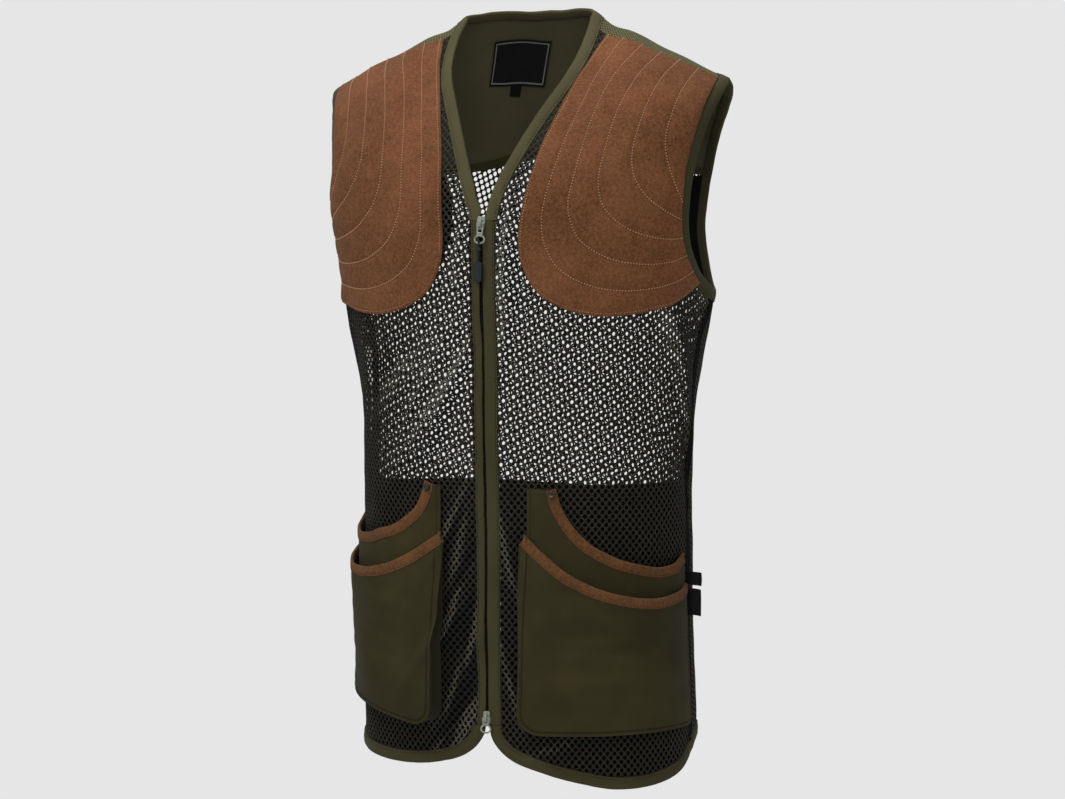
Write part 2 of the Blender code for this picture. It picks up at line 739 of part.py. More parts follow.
def panel_front(half, cloth):
    arm = half.arm_front[1:]
    outer = np.concatenate([half.seam_front(), arm])
    shoulder = half.shoulder - (0, SHOULDER_GAP / 2)
    columns = FRONT_COLUMNS + 1
    top = along_line(shoulder, np.linspace(0, 1, columns))
    inner = half.centre_edge()
    inner[-1], outer[-1] = top[0], top[-1]
    hem = half.hem_front_sewn.copy()
    outer[0] = hem[-1]
    outer[0, 0] -= SEAM / 2
    hem[-1] = outer[0]
    grid = on_side(patch(hem, top, inner, outer), half.side)
    wall(f"front_{half.name}", grid, -CLOTH, 0.0, cloth)
    return grid


def lining(half, front_grid, cloth):
    """The lining of a lower front, made from the front's own places, moved in."""
    grid = front_grid[: LINING_ROW + 1, 1:].copy()
    grid[-1, :, 1] = smooth(LINING_TOPS, "reach", np.abs(grid[-1, :, 0]))
    grid[:, 0, 0] = half.side * np.maximum(np.abs(grid[:, 0, 0]), ZIP_TAPE_HALF + 3 * SEAM)
    high = -CLOTH - LINING_GAP
    wall(f"lining_{half.name}", grid, high - LINING, high, cloth)


def yoke_grid(left, right):
    """Rows from the shoulder seams down to the back seam, columns from the right arm to the left."""
    rim = []
    for half in (right, left):
        shoulder = half.shoulder[::-1] + (0, SHOULDER_GAP / 2)
        path = on_side(np.concatenate([shoulder[:-1], half.neck_over]), half.side)
        rim.append(path if half is right else path[::-1])
    top = np.concatenate([rim[0], rim[1][1:]])
    arms = [on_side(half.arm_over, half.side) for half in (right, left)]
    for arm, end in zip(arms, (top[0], top[-1])):
        arm[0] = end
        arm[-1, 1] -= SEAM / 2
    across = np.linspace(arms[0][-1, 0], arms[1][-1, 0], len(top))
    foot = np.stack([across, np.full(len(top), arms[0][-1, 1])], axis=1)
    return patch(top, foot, arms[0], arms[1])


def back_grid(left, right, yoke):
    """Rows from the back seam down to the hem."""
    top = yoke[-1] + (0, SEAM)
    sides = []
    for half in (right, left):
        seam = half.seam_back()[::-1]
        edge = np.concatenate([half.arm_back[:-1], seam])
        sides.append(on_side(edge, half.side))
    hem = np.concatenate([on_side(right.hem_back_sewn, -1)[::-1], left.hem_back_sewn[1:]])
    for side, k in ((sides[0], 0), (sides[1], -1)):
        side[0] = top[k]
        side[-1, 1] = hem[k, 1]
        hem[k] = side[-1]
    grid = patch(top, hem, sides[0], sides[1], HEM_EASE)
    down, along = (np.sin(np.pi * np.linspace(0, 1, count)) for count in grid.shape[:2])
    grid[..., 1] += BACK_SAG * np.outer(down, along)
    return grid


def tape_between(name, sewn, far, width, look, closed=False):
    near = sewn + (far - sewn) * (TAPE_GAP / width)
    return edging(name, near, far, TAPE_OUT - TAPE, TAPE_OUT, look, closed)


def neck_tape(left, right, look):
    """The tape bound over the neck's edge, from one side of the zip round the back to the other."""
    sewn = np.concatenate([on_side(right.neck, -1), left.neck[::-1][1:]])
    far = np.concatenate([on_side(right.neck_edge, -1), left.neck_edge[::-1][1:]])
    for path in (sewn, far):
        path[0, 1] += SEAM
        path[-1, 1] += SEAM
    tape_between("neck_tape", sewn, far, NECK_TAPE, look)


def armhole_tape(half, look):
    arm = np.concatenate([half.arm_front[:-1], half.arm_over[:-1], half.arm_back[:-1]])
    far = inset(arm, -ARM_TAPE, closed=True)
    sewn, free = on_side(arm, half.side), on_side(far, half.side)
    tape_between(f"armhole_tape_{half.name}", sewn, free, ARM_TAPE, look, closed=True)


def hem_tape(left, right, look):
    """The tape bound over the hem, from one side of the zip round the back to the other."""
    paths = []
    for half in (left, right):
        sewn = np.concatenate([half.hem_front_sewn[:-1], half.hem_back_sewn[::-1]])
        outer = np.concatenate([half.hem_front[:-1], half.hem_back[::-1]])
        sewn[0, 1] -= SEAM
        outer[0, 1] -= SEAM
        paths.append((on_side(sewn, half.side), on_side(outer, half.side)))
    sewn, outer = (np.concatenate([paths[0][k], paths[1][k][::-1][1:]]) for k in (0, 1))
    tape_between("hem_tape", sewn, outer, HEM_TAPE, look)


def zip_strip(half, look):
    """The plain strip that covers the front's edge beside the zip."""
    levels = half.centre_edge()[: SEAM_ROWS + V_ROWS + 1, 1]
    sewn = np.stack([np.full(len(levels), half.strip - SEAM), levels], axis=1)
    free = np.stack([np.full(len(levels), STRIP_START), levels], axis=1)
    low, high = TAPE_OUT - TAPE, TAPE_OUT
    edging(f"zip_strip_{half.name}", on_side(sewn, half.side), on_side(free, half.side), low, high, look)
    return levels


def zip_chain(levels, look):
    """The zip's two tapes and its closed teeth, as one long strip with a ridge."""
    levels = levels.copy()
    levels[-1] -= 2 * SEAM
    top = TAPE_OUT - TAPE - ZIP_TAPE_GAP
    profile = (
        (-ZIP_TAPE_HALF, top - ZIP_TAPE),
        (ZIP_TAPE_HALF, top - ZIP_TAPE),
        (ZIP_TAPE_HALF, top),
        (CHAIN_HALF, top),
        (CHAIN_HALF, CHAIN_OUT),
        (-CHAIN_HALF, CHAIN_OUT),
        (-CHAIN_HALF, top),
        (-ZIP_TAPE_HALF, top),
    )
    loops = [[place((across, level), out) for across, out in profile] for level in levels]
    band("zip_chain", [np.array(loop) for loop in loops], look)


def pad_grid(half):
    """Rows from the pad's outer edge in to the arm, columns from the shoulder seam to the armhole."""
    arm = arm_line()
    rising = arm[int(np.argmin(arm[: len(arm) // 3, 1])) : int(np.argmax(arm[:, 1])) + 1]
    foot = Edge(float(np.interp(PAD_FOOT_LEVEL, rising[:, 1], rising[:, 0])) - 2 * SEAM, PAD_FOOT_LEVEL)
    edge = curve(PAD_EDGE + (foot,), PAD_COLUMNS + 1)
    rows = 2 * QUILT_CHANNELS + 1
    shoulder_end = half.shoulder[-1] - (2 * SEAM, 4 * SEAM)
    shoulder = curve(SHOULDER_SEAM + (Edge(*half.arm_front[-1]),), 60) - (0, 4 * SEAM)
    seam = along_line(shoulder, np.linspace(0, 1, 200))
    seam = seam[seam[:, 0] > edge[0, 0]]
    top = along_line(np.concatenate([edge[:1], seam[1:-1], [shoulder_end]]), np.linspace(0, 1, rows))
    side = between(rising, foot.reach, PAD_CORE_LEVEL, rows) - (2 * SEAM, 0)
    core = between(rising, PAD_CORE_LEVEL, float(shoulder_end[1]), PAD_COLUMNS + 1)[::-1] - (2 * SEAM, 0)
    side[0], side[-1] = edge[-1], core[-1]
    core[0] = top[-1]
    return patch(edge, core, top, side)


def shoulder_pad(half, look):
    """The quilted pad: channels puffed up between the stitch lines over a plain underside."""
    grid = on_side(pad_grid(half), half.side)
    rows, columns = grid.shape[:2]
    puff = np.zeros((rows, columns))
    puff[1::2] = QUILT
    puff[:, 0] = puff[:, -1] = 0
    wall(f"shoulder_pad_{half.name}", grid, PAD_GAP, PAD_GAP + PAD + puff, look)


def hung(half, path):
    """Pocket places as they hang on one side of the vest."""
    path = np.array(path, float)
    hang = POCKET_HANGS[half.name]
    u = (path[..., 0] - POCKET_INNER) / (POCKET_OUTER - POCKET_INNER)
    v = (path[..., 1] - POCKET_BOTTOM) / (BACK_LAYER_TOP - POCKET_BOTTOM)
    inner = hang.inner_foot * (1 - v) + hang.inner_top * v
    outer = hang.outer_foot * (1 - v) + hang.outer_top * v
    path[..., 0] += inner * (1 - u) + outer * u
    path[..., 1] += hang.rise * u
    return on_side(path, half.side)


def pocket_place(across, reach):
    """How far across and up the pocket a place is, both from 0 to 1."""
    u = np.clip((across - POCKET_INNER) / (POCKET_OUTER - POCKET_INNER), 0, 1)
    rim = smooth(FRONT_RIM, "reach", across)
    return u, np.clip((reach - POCKET_BOTTOM) / (rim - POCKET_BOTTOM), 0, 1)


def front_stand(across, reach):
    """How far the front layer's face stands off the vest."""
    u, rise = pocket_place(across, reach)
    ease = u * u * (3 - 2 * u)
    base = smooth(FRONT_STANDS, "inner", rise) * (1 - ease) + FRONT_STAND_OUTER * ease
    return base + FRONT_BELLY * np.sin(math.pi * u) * (0.35 + 0.65 * rise)


def back_stand(across, reach):
    """How far the back layer's face stands off the vest."""
    u, _ = pocket_place(across, reach)
    rise = np.clip((reach - POCKET_BOTTOM) / 0.06, 0, 1)
    return BACK_STAND_EDGE + BACK_BELLY * np.sin(math.pi * u) * np.sin(math.pi / 2 * rise)


def pocket_outline(shrink, start, end):
    """The sewn edge: down the inner side, round the corner, along the bottom and up the outer side."""
    inner, outer, bottom = POCKET_INNER + shrink, POCKET_OUTER - shrink, POCKET_BOTTOM + shrink
    radius = POCKET_CORNER - shrink
    corner = []
    for turn in np.linspace(0, math.pi / 2, 5):
        corner.append((inner + radius * (1 - math.cos(turn)), bottom + radius * (1 - math.sin(turn))))
    near = radius / 2
    far = []
    for turn in np.linspace(0, math.pi / 2, 3):
        far.append((outer - near * (1 - math.sin(turn)), bottom + near * (1 - math.cos(turn))))
    side = np.linspace(start, corner[0][1], 8)[:-1]
    foot = np.linspace(corner[-1][0], far[0][0], 10)[1:-1]
    rise = np.linspace(far[-1][1], end, 7)[1:]
    path = [(inner, level) for level in side] + corner + [(across, bottom) for across in foot]
    return np.array(path + far + [(outer, level) for level in rise])


def layer_grid(top, shrink, start, end):
    """A pocket layer's places, between its rounded lower corner and its top edge."""
    outline = pocket_outline(shrink, start, end)
    middle = 9
    bottom_end = middle + 12
    left = np.concatenate([outline[: middle + 1][::-1], [top[0]]])
    right = np.concatenate([outline[bottom_end:], [top[-1]]])
    rows = POCKET_ROWS + 1
    return patch(
        along_line(outline[middle : bottom_end + 1], np.linspace(0, 1, len(top))),
        top,
        along_line(left, np.linspace(0, 1, rows)),
        along_line(right, np.linspace(0, 1, rows)),
    )


def pocket(half, cloth, suede, metal):
    name = half.name
    columns = POCKET_COLUMNS + 1
    front_rim = curve(FRONT_RIM, columns)
    front_sewn = inset(front_rim, -RIM_TAPE)
    front_sewn[0, 0], front_sewn[-1, 0] = POCKET_INNER, POCKET_OUTER
    back_rim = curve([Edge(getattr(row, name), row.reach) for row in BACK_RIM], columns)
    back_sewn = inset(back_rim, -RIM_TAPE)
    inside = POCKET_CLOTH + 2 * SEAM
    back_rim[-1, 0] = back_sewn[-1, 0] = POCKET_OUTER - inside

    start, end = front_sewn[0, 1] - 3 * SEAM, front_sewn[-1, 1] - 3 * SEAM

    grid = layer_grid(front_sewn, 0.0, start, end)
    high = front_stand(grid[..., 0], grid[..., 1])
    wall(f"pocket_front_{name}", hung(half, grid), high - POCKET_CLOTH, high, cloth)

    corner = np.array([(POCKET_INNER + inside, BACK_LAYER_TOP), (back_sewn[0, 0] - SEAM, BACK_LAYER_TOP)])
    top = np.concatenate([corner, back_sewn])
    grid = layer_grid(top, inside, start, end)
    high = back_stand(grid[..., 0], grid[..., 1])
    wall(f"pocket_back_{name}", hung(half, grid), high - POCKET_CLOTH, high, cloth)

    outline = pocket_outline(0.0, start, end)
    inner_line = pocket_outline(POCKET_CLOTH, start, end)
    roof = front_stand(outline[:, 0], outline[:, 1]) - POCKET_CLOTH - POCKET_GAP
    rows = [
        place(hung(half, outline), PAD_GAP),
        place(hung(half, outline), roof),
        place(hung(half, inner_line), roof),
        place(hung(half, inner_line), PAD_GAP),
    ]
    band(f"pocket_gusset_{name}", [np.array(loop) for loop in zip(*rows)], cloth)

    for label, rim, sewn, stand in (
        ("front", front_rim, front_sewn, front_stand),
        ("back", back_rim, back_sewn, back_stand),
    ):
        face = stand(sewn[:, 0], sewn[:, 1])
        high = face + RIM_TAPE_OUT
        low = face - POCKET_CLOTH - RIM_TAPE_OUT
        near = sewn + (rim - sewn) * (SEAM / RIM_TAPE)
        edging(f"pocket_{label}_rim_{name}", hung(half, near), hung(half, rim), low, high, suede)

    middle = (back_rim[0] + back_sewn[0]) / 2 + (back_rim[1] - back_rim[0]) * 0.3
    rivet_out = float(back_stand(middle[0], middle[1])) + RIM_TAPE_OUT + SEAM
    rivet(f"pocket_rivet_{name}", hung(half, middle), rivet_out, metal)


def local_frame(spot, out):
    """Where a small hard piece sits: its origin, and its axes across, up along the cloth and outward."""
    spot = np.asarray(spot, float)
    origin = place(spot, out)
    normal = outward(spot[0], spot[1])
    up = place(spot + (0, 0.002), out) - origin
    up -= normal * (up @ normal)
    up /= np.linalg.norm(up)
    side = np.cross(up, normal)
    return origin, np.stack([side, up, normal], axis=1)


def rivet(name, spot, out, look):
    origin, axes = local_frame(spot, out)
    turns = np.linspace(0, 2 * math.pi, 12, endpoint=False)
    loops = []
    for radius, height in RIVET_RINGS:
        level = np.full(len(turns), height)
        ring = np.stack([radius * np.cos(turns), radius * np.sin(turns), level], axis=1)
        loops.append(origin + ring * (RIVET_RADIUS, RIVET_RADIUS, RIVET_HEIGHT) @ axes.T)
    band(name, loops, look)


def patch_piece(name, across, reach, width, height, lean, look):
    """A label sewn inside the yoke, leaning by some degrees."""
    u, v = np.meshgrid(np.linspace(-0.5, 0.5, 5), np.linspace(-0.5, 0.5, 4))
    turn = math.radians(lean)
    lift = LABEL_BOW * (2 * u * width / LABEL_WIDTH) ** 2
    grid = np.stack([
        across + u * width * math.cos(turn) - v * height * math.sin(turn),
        reach + u * width * math.sin(turn) + v * height * math.cos(turn) - lift,
    ], axis=-1)
    high = -CLOTH - LABEL_GAP
    wall(name, grid, high - LABEL_CLOTH, high, look)


def yoke_tape(yoke, look):
    """The tape over the yoke's seam, inside."""
    line = yoke[-1].copy()
    line[0, 0] += LABEL_CLOTH
    line[-1, 0] -= LABEL_CLOTH
    grid = np.stack([line + (0, SEAM_TAPE / 2), line - (0, SEAM_TAPE / 2)])
    high = -CLOTH - 2 * SEAM
    wall("yoke_seam_tape", grid, high - LABEL_CLOTH, high, look)


def side_loop(loop, look):
    """A folded loop caught in the left side seam, standing straight out."""
    levels = (loop.top, loop.bottom)
    spots = [(float(RINGS.quarter(climb_of(level), False)), level) for level in levels]
    shift = np.array((LOOP_THICK / 2, 0))
    loops = []
    for share in (0.0, 0.5, 1.0):
        out = SEAM + share * loop.reach_out
        drop = np.array((0, share * share * loop.sag))
        corners = (
            place(spots[0] - shift - drop, out),
            place(spots[0] + shift - drop, out),
            place(spots[1] + shift - drop, out),
            place(spots[1] - shift - drop, out),
        )
        loops.append(np.array(corners))
    band(loop.name, loops, look)


def extruded(name, outline, holes, low, high, look, origin, axes):
    """A flat piece from its outline and holes in local width and height, between two local heights."""
    built = bmesh.new()
    edges = []
    for ring in [outline] + list(holes):
        points = [built.verts.new((x, y, low)) for x, y in ring]
        for a, b in zip(points, points[1:] + points[:1]):
            edges.append(built.edges.new((a, b)))
    bmesh.ops.triangle_fill(built, edges=edges, use_beauty=True, use_dissolve=False)
    result = bmesh.ops.extrude_face_region(built, geom=list(built.faces))
    raised = [item for item in result["geom"] if isinstance(item, bmesh.types.BMVert)]
    bmesh.ops.translate(built, vec=(0, 0, high - low), verts=raised)
    bmesh.ops.recalc_face_normals(built, faces=built.faces)
    for vert in built.verts:
        vert.co = origin + axes @ np.array(vert.co)
    bmesh.ops.recalc_face_normals(built, faces=built.faces)
    mesh = bpy.data.meshes.new(name)
    built.to_mesh(mesh)
    built.free()
    mesh.materials.append(look)
    made = bpy.data.objects.new(name, mesh)
    bpy.context.collection.objects.link(made)
    return made


def circle(x, y, radius_x, radius_y, count, start=0.0, turn=2 * math.pi):
    full = abs(turn - 2 * math.pi) < 1e-6
    steps = np.linspace(start, start + turn, count, endpoint=not full)
    return [(x + radius_x * math.cos(t), y + radius_y * math.sin(t)) for t in steps]


def slider(name, reach, wide_up, look):
    """The slider's plate with the small bridge that holds its pull."""
    origin, axes = local_frame((0.0, reach), SLIDER_OUT)
    flip = 1 if wide_up else -1
    half_length = SLIDER_LENGTH / 2
    outline = [
        (-SLIDER_NARROW / 2, -flip * half_length),
        (SLIDER_NARROW / 2, -flip * half_length),
        (SLIDER_WIDE / 2, flip * half_length * SLIDER_WAIST),
        (SLIDER_WIDE / 2 * SLIDER_CORNER, flip * half_length),
        (-SLIDER_WIDE / 2 * SLIDER_CORNER, flip * half_length),
        (-SLIDER_WIDE / 2, flip * half_length * SLIDER_WAIST),
    ]
    plate = extruded(name, outline, [], 0.0, SLIDER_PLATE, look, origin, axes)
    low = SLIDER_PLATE - BAIL_WALL / 2
    high = low + BAIL_HEIGHT
    span = BAIL_LENGTH / 2
    inner_span, inner_high = span - BAIL_WALL, high - BAIL_WALL
    arch = [(-span, low), (-span, high - BAIL_BEND), (-span + BAIL_BEND, high), (span - BAIL_BEND, high)]
    arch += [(span, high - BAIL_BEND), (span, low), (inner_span, low)]
    arch += [(inner_span, inner_high - BAIL_INNER_BEND), (inner_span - BAIL_INNER_BEND, inner_high)]
    arch += [(-inner_span + BAIL_INNER_BEND, inner_high), (-inner_span, inner_high - BAIL_INNER_BEND)]
    arch += [(-inner_span, low)]
    side_axes = np.stack([axes[:, 1], axes[:, 2], axes[:, 0]], axis=1)
    bridge = extruded(name + "_bridge", arch, [], -BAIL_WIDTH / 2, BAIL_WIDTH / 2, look, origin, side_axes)
    join = plate.modifiers.new("bridge", "BOOLEAN")
    join.operation = "UNION"
    join.solver = "EXACT"
    join.object = bridge
    bridge.hide_render = True
    bridge.display_type = "WIRE"
    pivot_out = high - BAIL_WALL - PULL_THICK / 2 - PULL_PLAY
    return origin + axes @ np.array((0, 0, pivot_out)), axes


def pull(name, pivot, axes, length, look):
    """The flat pull: an eye round the slider's bridge, and a ring at its foot."""
    eye_half = EYE_WIDTH / 2
    side = PULL_WIDTH / 2
    bar = PULL_BAR / 2
    narrow = eye_half * PULL_TAPER
    eye_foot = -max(EYE_LENGTH, length - RING_OUTER * RING_FLAT - PULL_NECK)
    outline = [(-side, bar), (side, bar), (side * PULL_TAPER, eye_foot)]
    outline += circle(0, -length, RING_OUTER, RING_OUTER * RING_FLAT, 15, 0.32 * math.pi, -1.64 * math.pi)
    outline += [(-side * PULL_TAPER, eye_foot)]
    eye = [(-eye_half, -bar), (eye_half, -bar), (narrow, eye_foot), (-narrow, eye_foot)]
    hole = circle(0, -length, RING_INNER, RING_INNER * HOLE_FLAT, 12)
    return extruded(name, outline, [eye, hole], -PULL_THICK / 2, PULL_THICK / 2, look, pivot, axes)


def sweep(name, path, radius, look, origin, axes, around=8):
    """A round cord along a path of local points that stays in one plane across its width."""
    path = np.array(path, float)
    runs = np.gradient(path, axis=0)
    runs /= np.linalg.norm(runs, axis=1, keepdims=True)
    across = np.array((1.0, 0.0, 0.0))
    turns = np.linspace(0, 2 * math.pi, around, endpoint=False)
    loops = []
    for spot, run in zip(path, runs):
        other = np.cross(run, across)
        ring = spot + radius * (np.outer(np.cos(turns), across) + np.outer(np.sin(turns), other))
        loops.append(origin + ring @ axes.T)
    return band(name, loops, look)


def pull_cord(pivot, axes, look, rubber):
    """The cord looped through the top pull's ring, its collar, and the rubber grip at its end."""
    bar_low = -TOP_PULL_LENGTH - RING_OUTER * RING_FLAT
    hole_low = -TOP_PULL_LENGTH - RING_INNER * HOLE_FLAT
    middle = (bar_low + hole_low) / 2
    round_bar = PULL_THICK / 2 + SEAM + CORD_RADIUS
    top = hole_low + SEAM + CORD_RADIUS
    grip_top = bar_low - CORD_DROP
    path = [(0, grip_top + SEAM, CORD_APART), (0, bar_low - COLLAR_DROP, CORD_APART)]
    path += [(0, bar_low, round_bar)]
    path += [(0, middle, round_bar + SEAM), (0, hole_low, round_bar)]
    path += [(0, top, round_bar / 2), (0, top + SEAM, 0)]
    path += [(0, y, -z) for _, y, z in path[-2::-1]]
    cord = sweep("pull_cord", path, CORD_RADIUS, look, pivot, axes)

    half = CORD_APART + CORD_RADIUS + SEAM
    wide = CORD_RADIUS + SEAM
    outline = rounded(wide + COLLAR_WALL, half + COLLAR_WALL, COLLAR_WALL)
    hole = rounded(wide, half, COLLAR_HOLE_BEND)
    along = np.stack([axes[:, 2], axes[:, 0], axes[:, 1]], axis=1)
    start = bar_low - COLLAR_DROP - COLLAR_LENGTH
    collar = extruded(
        "pull_collar",
        [(z, x) for x, z in outline],
        [[(z, x) for x, z in hole]],
        start,
        start + COLLAR_LENGTH,
        look,
        pivot,
        along,
    )
    middle = grip_top - GRIP_LENGTH / 2
    outline = [(x, middle + y) for x, y in rounded(GRIP_WIDTH / 2, GRIP_LENGTH / 2, GRIP_CORNER)]
    grip = extruded("pull_grip", outline, [], -GRIP_THICK / 2, GRIP_THICK / 2, rubber, pivot, axes)
    return cord, collar, grip


def rounded(half_width, half_height, radius, steps=4):
    """A rectangle's outline with round corners, about the middle."""
    points = []
    for quarter in range(4):
        x = (half_width - radius) * (1 if quarter in (0, 3) else -1)
        y = (half_height - radius) * (1 if quarter in (0, 1) else -1)
        for turn in np.linspace(0, math.pi / 2, steps):
            angle = quarter * math.pi / 2 + turn
            points.append((x + radius * math.cos(angle), y + radius * math.sin(angle)))
    return points


def hang_from(piece, pivot):
    """Puts a moving piece's origin on its hinge."""
    piece.data.transform(Matrix.Translation(-Vector(pivot)))
    piece.location = pivot


def main():
    clear_scene()
    net = material("net", (0.030, 0.028, 0.020), 0.8)
    olive = material("olive_cloth", (0.060, 0.052, 0.026), 0.85)
    lining_cloth = material("lining_cloth", (0.016, 0.016, 0.013), 0.9)
    suede = material("suede", (0.190, 0.075, 0.032), 0.95)
    dark = material("woven_black", (0.010, 0.010, 0.011), 0.8)
    metal = material("slider_metal", (0.30, 0.31, 0.29), 0.35, 1.0)
    brass = material("rivet_metal", (0.20, 0.17, 0.13), 0.4, 1.0)
    rubber = material("rubber", (0.020, 0.024, 0.030), 0.6)

    left, right = Side(1), Side(-1)
    for half in (left, right):
        grid = panel_front(half, net)
        lining(half, grid, lining_cloth)
        armhole_tape(half, olive)
        levels = zip_strip(half, olive)
        shoulder_pad(half, suede)
        pocket(half, olive, suede, brass)
    zip_chain(levels, dark)
    neck_tape(left, right, olive)
    hem_tape(left, right, olive)

    yoke = yoke_grid(left, right)
    wall("back_yoke", yoke, -CLOTH, 0.0, olive)
    wall("back_lower", back_grid(left, right, yoke), -CLOTH, 0.0, net)
    yoke_tape(yoke, olive)
    patch_piece("neck_label", LABEL_ACROSS, LABEL_REACH, LABEL_WIDTH, LABEL_HEIGHT, LABEL_LEAN, dark)
    turn = math.radians(LABEL_LEAN)
    below = (LABEL_HEIGHT + SIZE_TAB_HEIGHT) / 2 + SEAM
    size_across = LABEL_ACROSS - below * math.sin(turn)
    size_reach = LABEL_REACH + below * math.cos(turn)
    patch_piece("size_tab", size_across, size_reach, SIZE_TAB_WIDTH, SIZE_TAB_HEIGHT, LABEL_LEAN, dark)
    for loop in SIDE_LOOPS:
        side_loop(loop, dark)

    pivot, axes = slider("top_slider", TOP_SLIDER_REACH, True, metal)
    pieces = [pull("top_pull", pivot, axes, TOP_PULL_LENGTH, metal), *pull_cord(pivot, axes, dark, rubber)]
    for piece in pieces:
        hang_from(piece, pivot)
    pivot, axes = slider("bottom_slider", BOTTOM_SLIDER_REACH, False, metal)
    hang_from(pull("bottom_pull", pivot, axes, BOTTOM_PULL_LENGTH, metal), pivot)


main()
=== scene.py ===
"""The shooting vest's looks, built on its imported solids.

Cloth is laid on the same worn form as the solids: a place has a size across, along a ring from the centre
line, and a reach, up the front, over the shoulder and down the back. Pieces carry those sizes as their
pattern map, in metres.
"""

import math
from collections import namedtuple

import bmesh
import bpy
import numpy as np
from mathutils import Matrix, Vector


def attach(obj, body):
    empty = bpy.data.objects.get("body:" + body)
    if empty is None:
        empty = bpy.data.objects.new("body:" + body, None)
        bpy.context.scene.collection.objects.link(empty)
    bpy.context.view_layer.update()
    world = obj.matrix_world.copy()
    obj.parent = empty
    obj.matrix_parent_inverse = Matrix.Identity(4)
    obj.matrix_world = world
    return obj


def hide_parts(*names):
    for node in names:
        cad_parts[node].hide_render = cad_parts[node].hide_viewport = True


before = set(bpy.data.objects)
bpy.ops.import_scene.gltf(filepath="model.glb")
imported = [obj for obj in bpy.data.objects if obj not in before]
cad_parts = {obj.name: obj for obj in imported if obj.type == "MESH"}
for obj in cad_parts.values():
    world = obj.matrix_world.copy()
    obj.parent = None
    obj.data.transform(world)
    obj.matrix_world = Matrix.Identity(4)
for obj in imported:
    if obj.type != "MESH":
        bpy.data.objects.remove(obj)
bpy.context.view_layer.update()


# Levels of the worn form, how far its reach is climbed in a turn, and the step its face is read with
CHEST_LEVEL = -0.185
REACH_PER_TURN = 0.150
RIDGE_REACH = CHEST_LEVEL + REACH_PER_TURN * math.pi / 2
NUDGE = 0.0006

# The body's cross-sections: sizes and squareness of front and back, and how far each is shifted and slid
Section = namedtuple(
    "Section", "level half_width front_depth back_depth front_square back_square sway slide"
)
SECTIONS = (
    Section(-0.760, 0.168, 0.113, 0.112, 2.35, 2.30, 0.001, 0.0040),
    Section(-0.660, 0.167, 0.114, 0.110, 2.35, 2.30, 0.000, 0.0040),
    Section(-0.560, 0.165, 0.114, 0.106, 2.35, 2.25, -0.001, 0.0040),
    Section(-0.460, 0.165, 0.115, 0.104, 2.40, 2.20, -0.001, 0.0040),
    Section(-0.380, 0.166, 0.119, 0.108, 2.45, 2.15, 0.000, 0.0030),
    Section(-0.310, 0.173, 0.123, 0.116, 2.55, 2.10, 0.002, 0.0020),
    Section(-0.265, 0.181, 0.125, 0.121, 2.65, 2.10, 0.002, 0.0010),
    Section(-0.220, 0.188, 0.124, 0.123, 2.75, 2.10, 0.001, 0.0010),
    Section(-0.185, 0.194, 0.123, 0.123, 2.80, 2.15, 0.000, 0.0025),
    Section(-0.100, 0.199, 0.121, 0.121, 2.80, 2.40, 0.000, 0.0055),
    Section(-0.050, 0.206, 0.120, 0.120, 2.80, 2.65, 0.000, 0.0045),
    Section(0.000, 0.215, 0.120, 0.120, 2.80, 2.80, 0.000, 0.0000),
)

# The shoulder line from the neck out, and how far each side of it hangs below a quarter round
Shoulder = namedtuple("Shoulder", "out height front_slack back_slack")
SHOULDERS = (
    Shoulder(0.000, 0.034, 1.00, 0.00),
    Shoulder(0.040, 0.026, 1.00, 0.00),
    Shoulder(0.070, 0.008, 1.00, 0.05),
    Shoulder(0.085, -0.002, 0.90, 0.10),
    Shoulder(0.110, -0.011, 0.55, 0.20),
    Shoulder(0.140, -0.026, 0.30, 0.20),
    Shoulder(0.190, -0.050, 0.15, 0.15),
    Shoulder(0.220, -0.064, 0.12, 0.12),
)

# The largest soft folds: where, which way they run, their half length, half width and height
Fold = namedtuple("Fold", "across reach lean length width height")
FOLDS = (
    Fold(-0.060, -0.385, 40, 0.070, 0.014, 0.0034),
    Fold(-0.105, -0.330, 52, 0.060, 0.016, -0.0030),
    Fold(-0.035, -0.570, 12, 0.110, 0.009, 0.0030),
    Fold(-0.020, -0.650, 28, 0.060, 0.010, -0.0024),
    Fold(0.032, -0.520, -8, 0.100, 0.009, 0.0032),
    Fold(0.028, -0.240, 4, 0.060, 0.008, 0.0030),
    Fold(0.085, -0.350, -30, 0.075, 0.016, 0.0030),
    Fold(0.150, -0.360, -42, 0.070, 0.015, -0.0030),
    Fold(0.205, -0.330, -20, 0.085, 0.014, 0.0040),
    Fold(-0.205, -0.330, 20, 0.085, 0.014, 0.0040),
    Fold(-0.120, 0.460, 35, 0.110, 0.020, 0.0045),
    Fold(0.130, 0.500, -32, 0.120, 0.021, 0.0048),
    Fold(0.010, 0.620, 6, 0.140, 0.024, -0.0040),
    Fold(-0.070, 0.700, -10, 0.110, 0.018, 0.0040),
    Fold(0.085, 0.710, 12, 0.100, 0.018, 0.0040),
    Fold(0.2530, -0.2680, 0, 0.022, 0.018, 0.0060),
    Fold(0.2505, 0.3692, 0, 0.022, 0.018, 0.0060),
    Fold(-0.2530, -0.2680, 0, 0.022, 0.018, 0.0050),
    Fold(-0.2505, 0.3692, 0, 0.022, 0.018, 0.0050),
)

# Cloth and trim thicknesses, and the spaces between them
SEAM = 0.0003
SHOULDER_GAP = 0.0010
CLOTH = 0.0014
LINING_GAP = 0.0008
PAD_GAP = 0.0012
TAPE = 0.0024
TAPE_OUT = 0.0005

# Widths of the edge tapes
NECK_TAPE = 0.0105
ARM_TAPE = 0.0115
HEM_TAPE = 0.0102

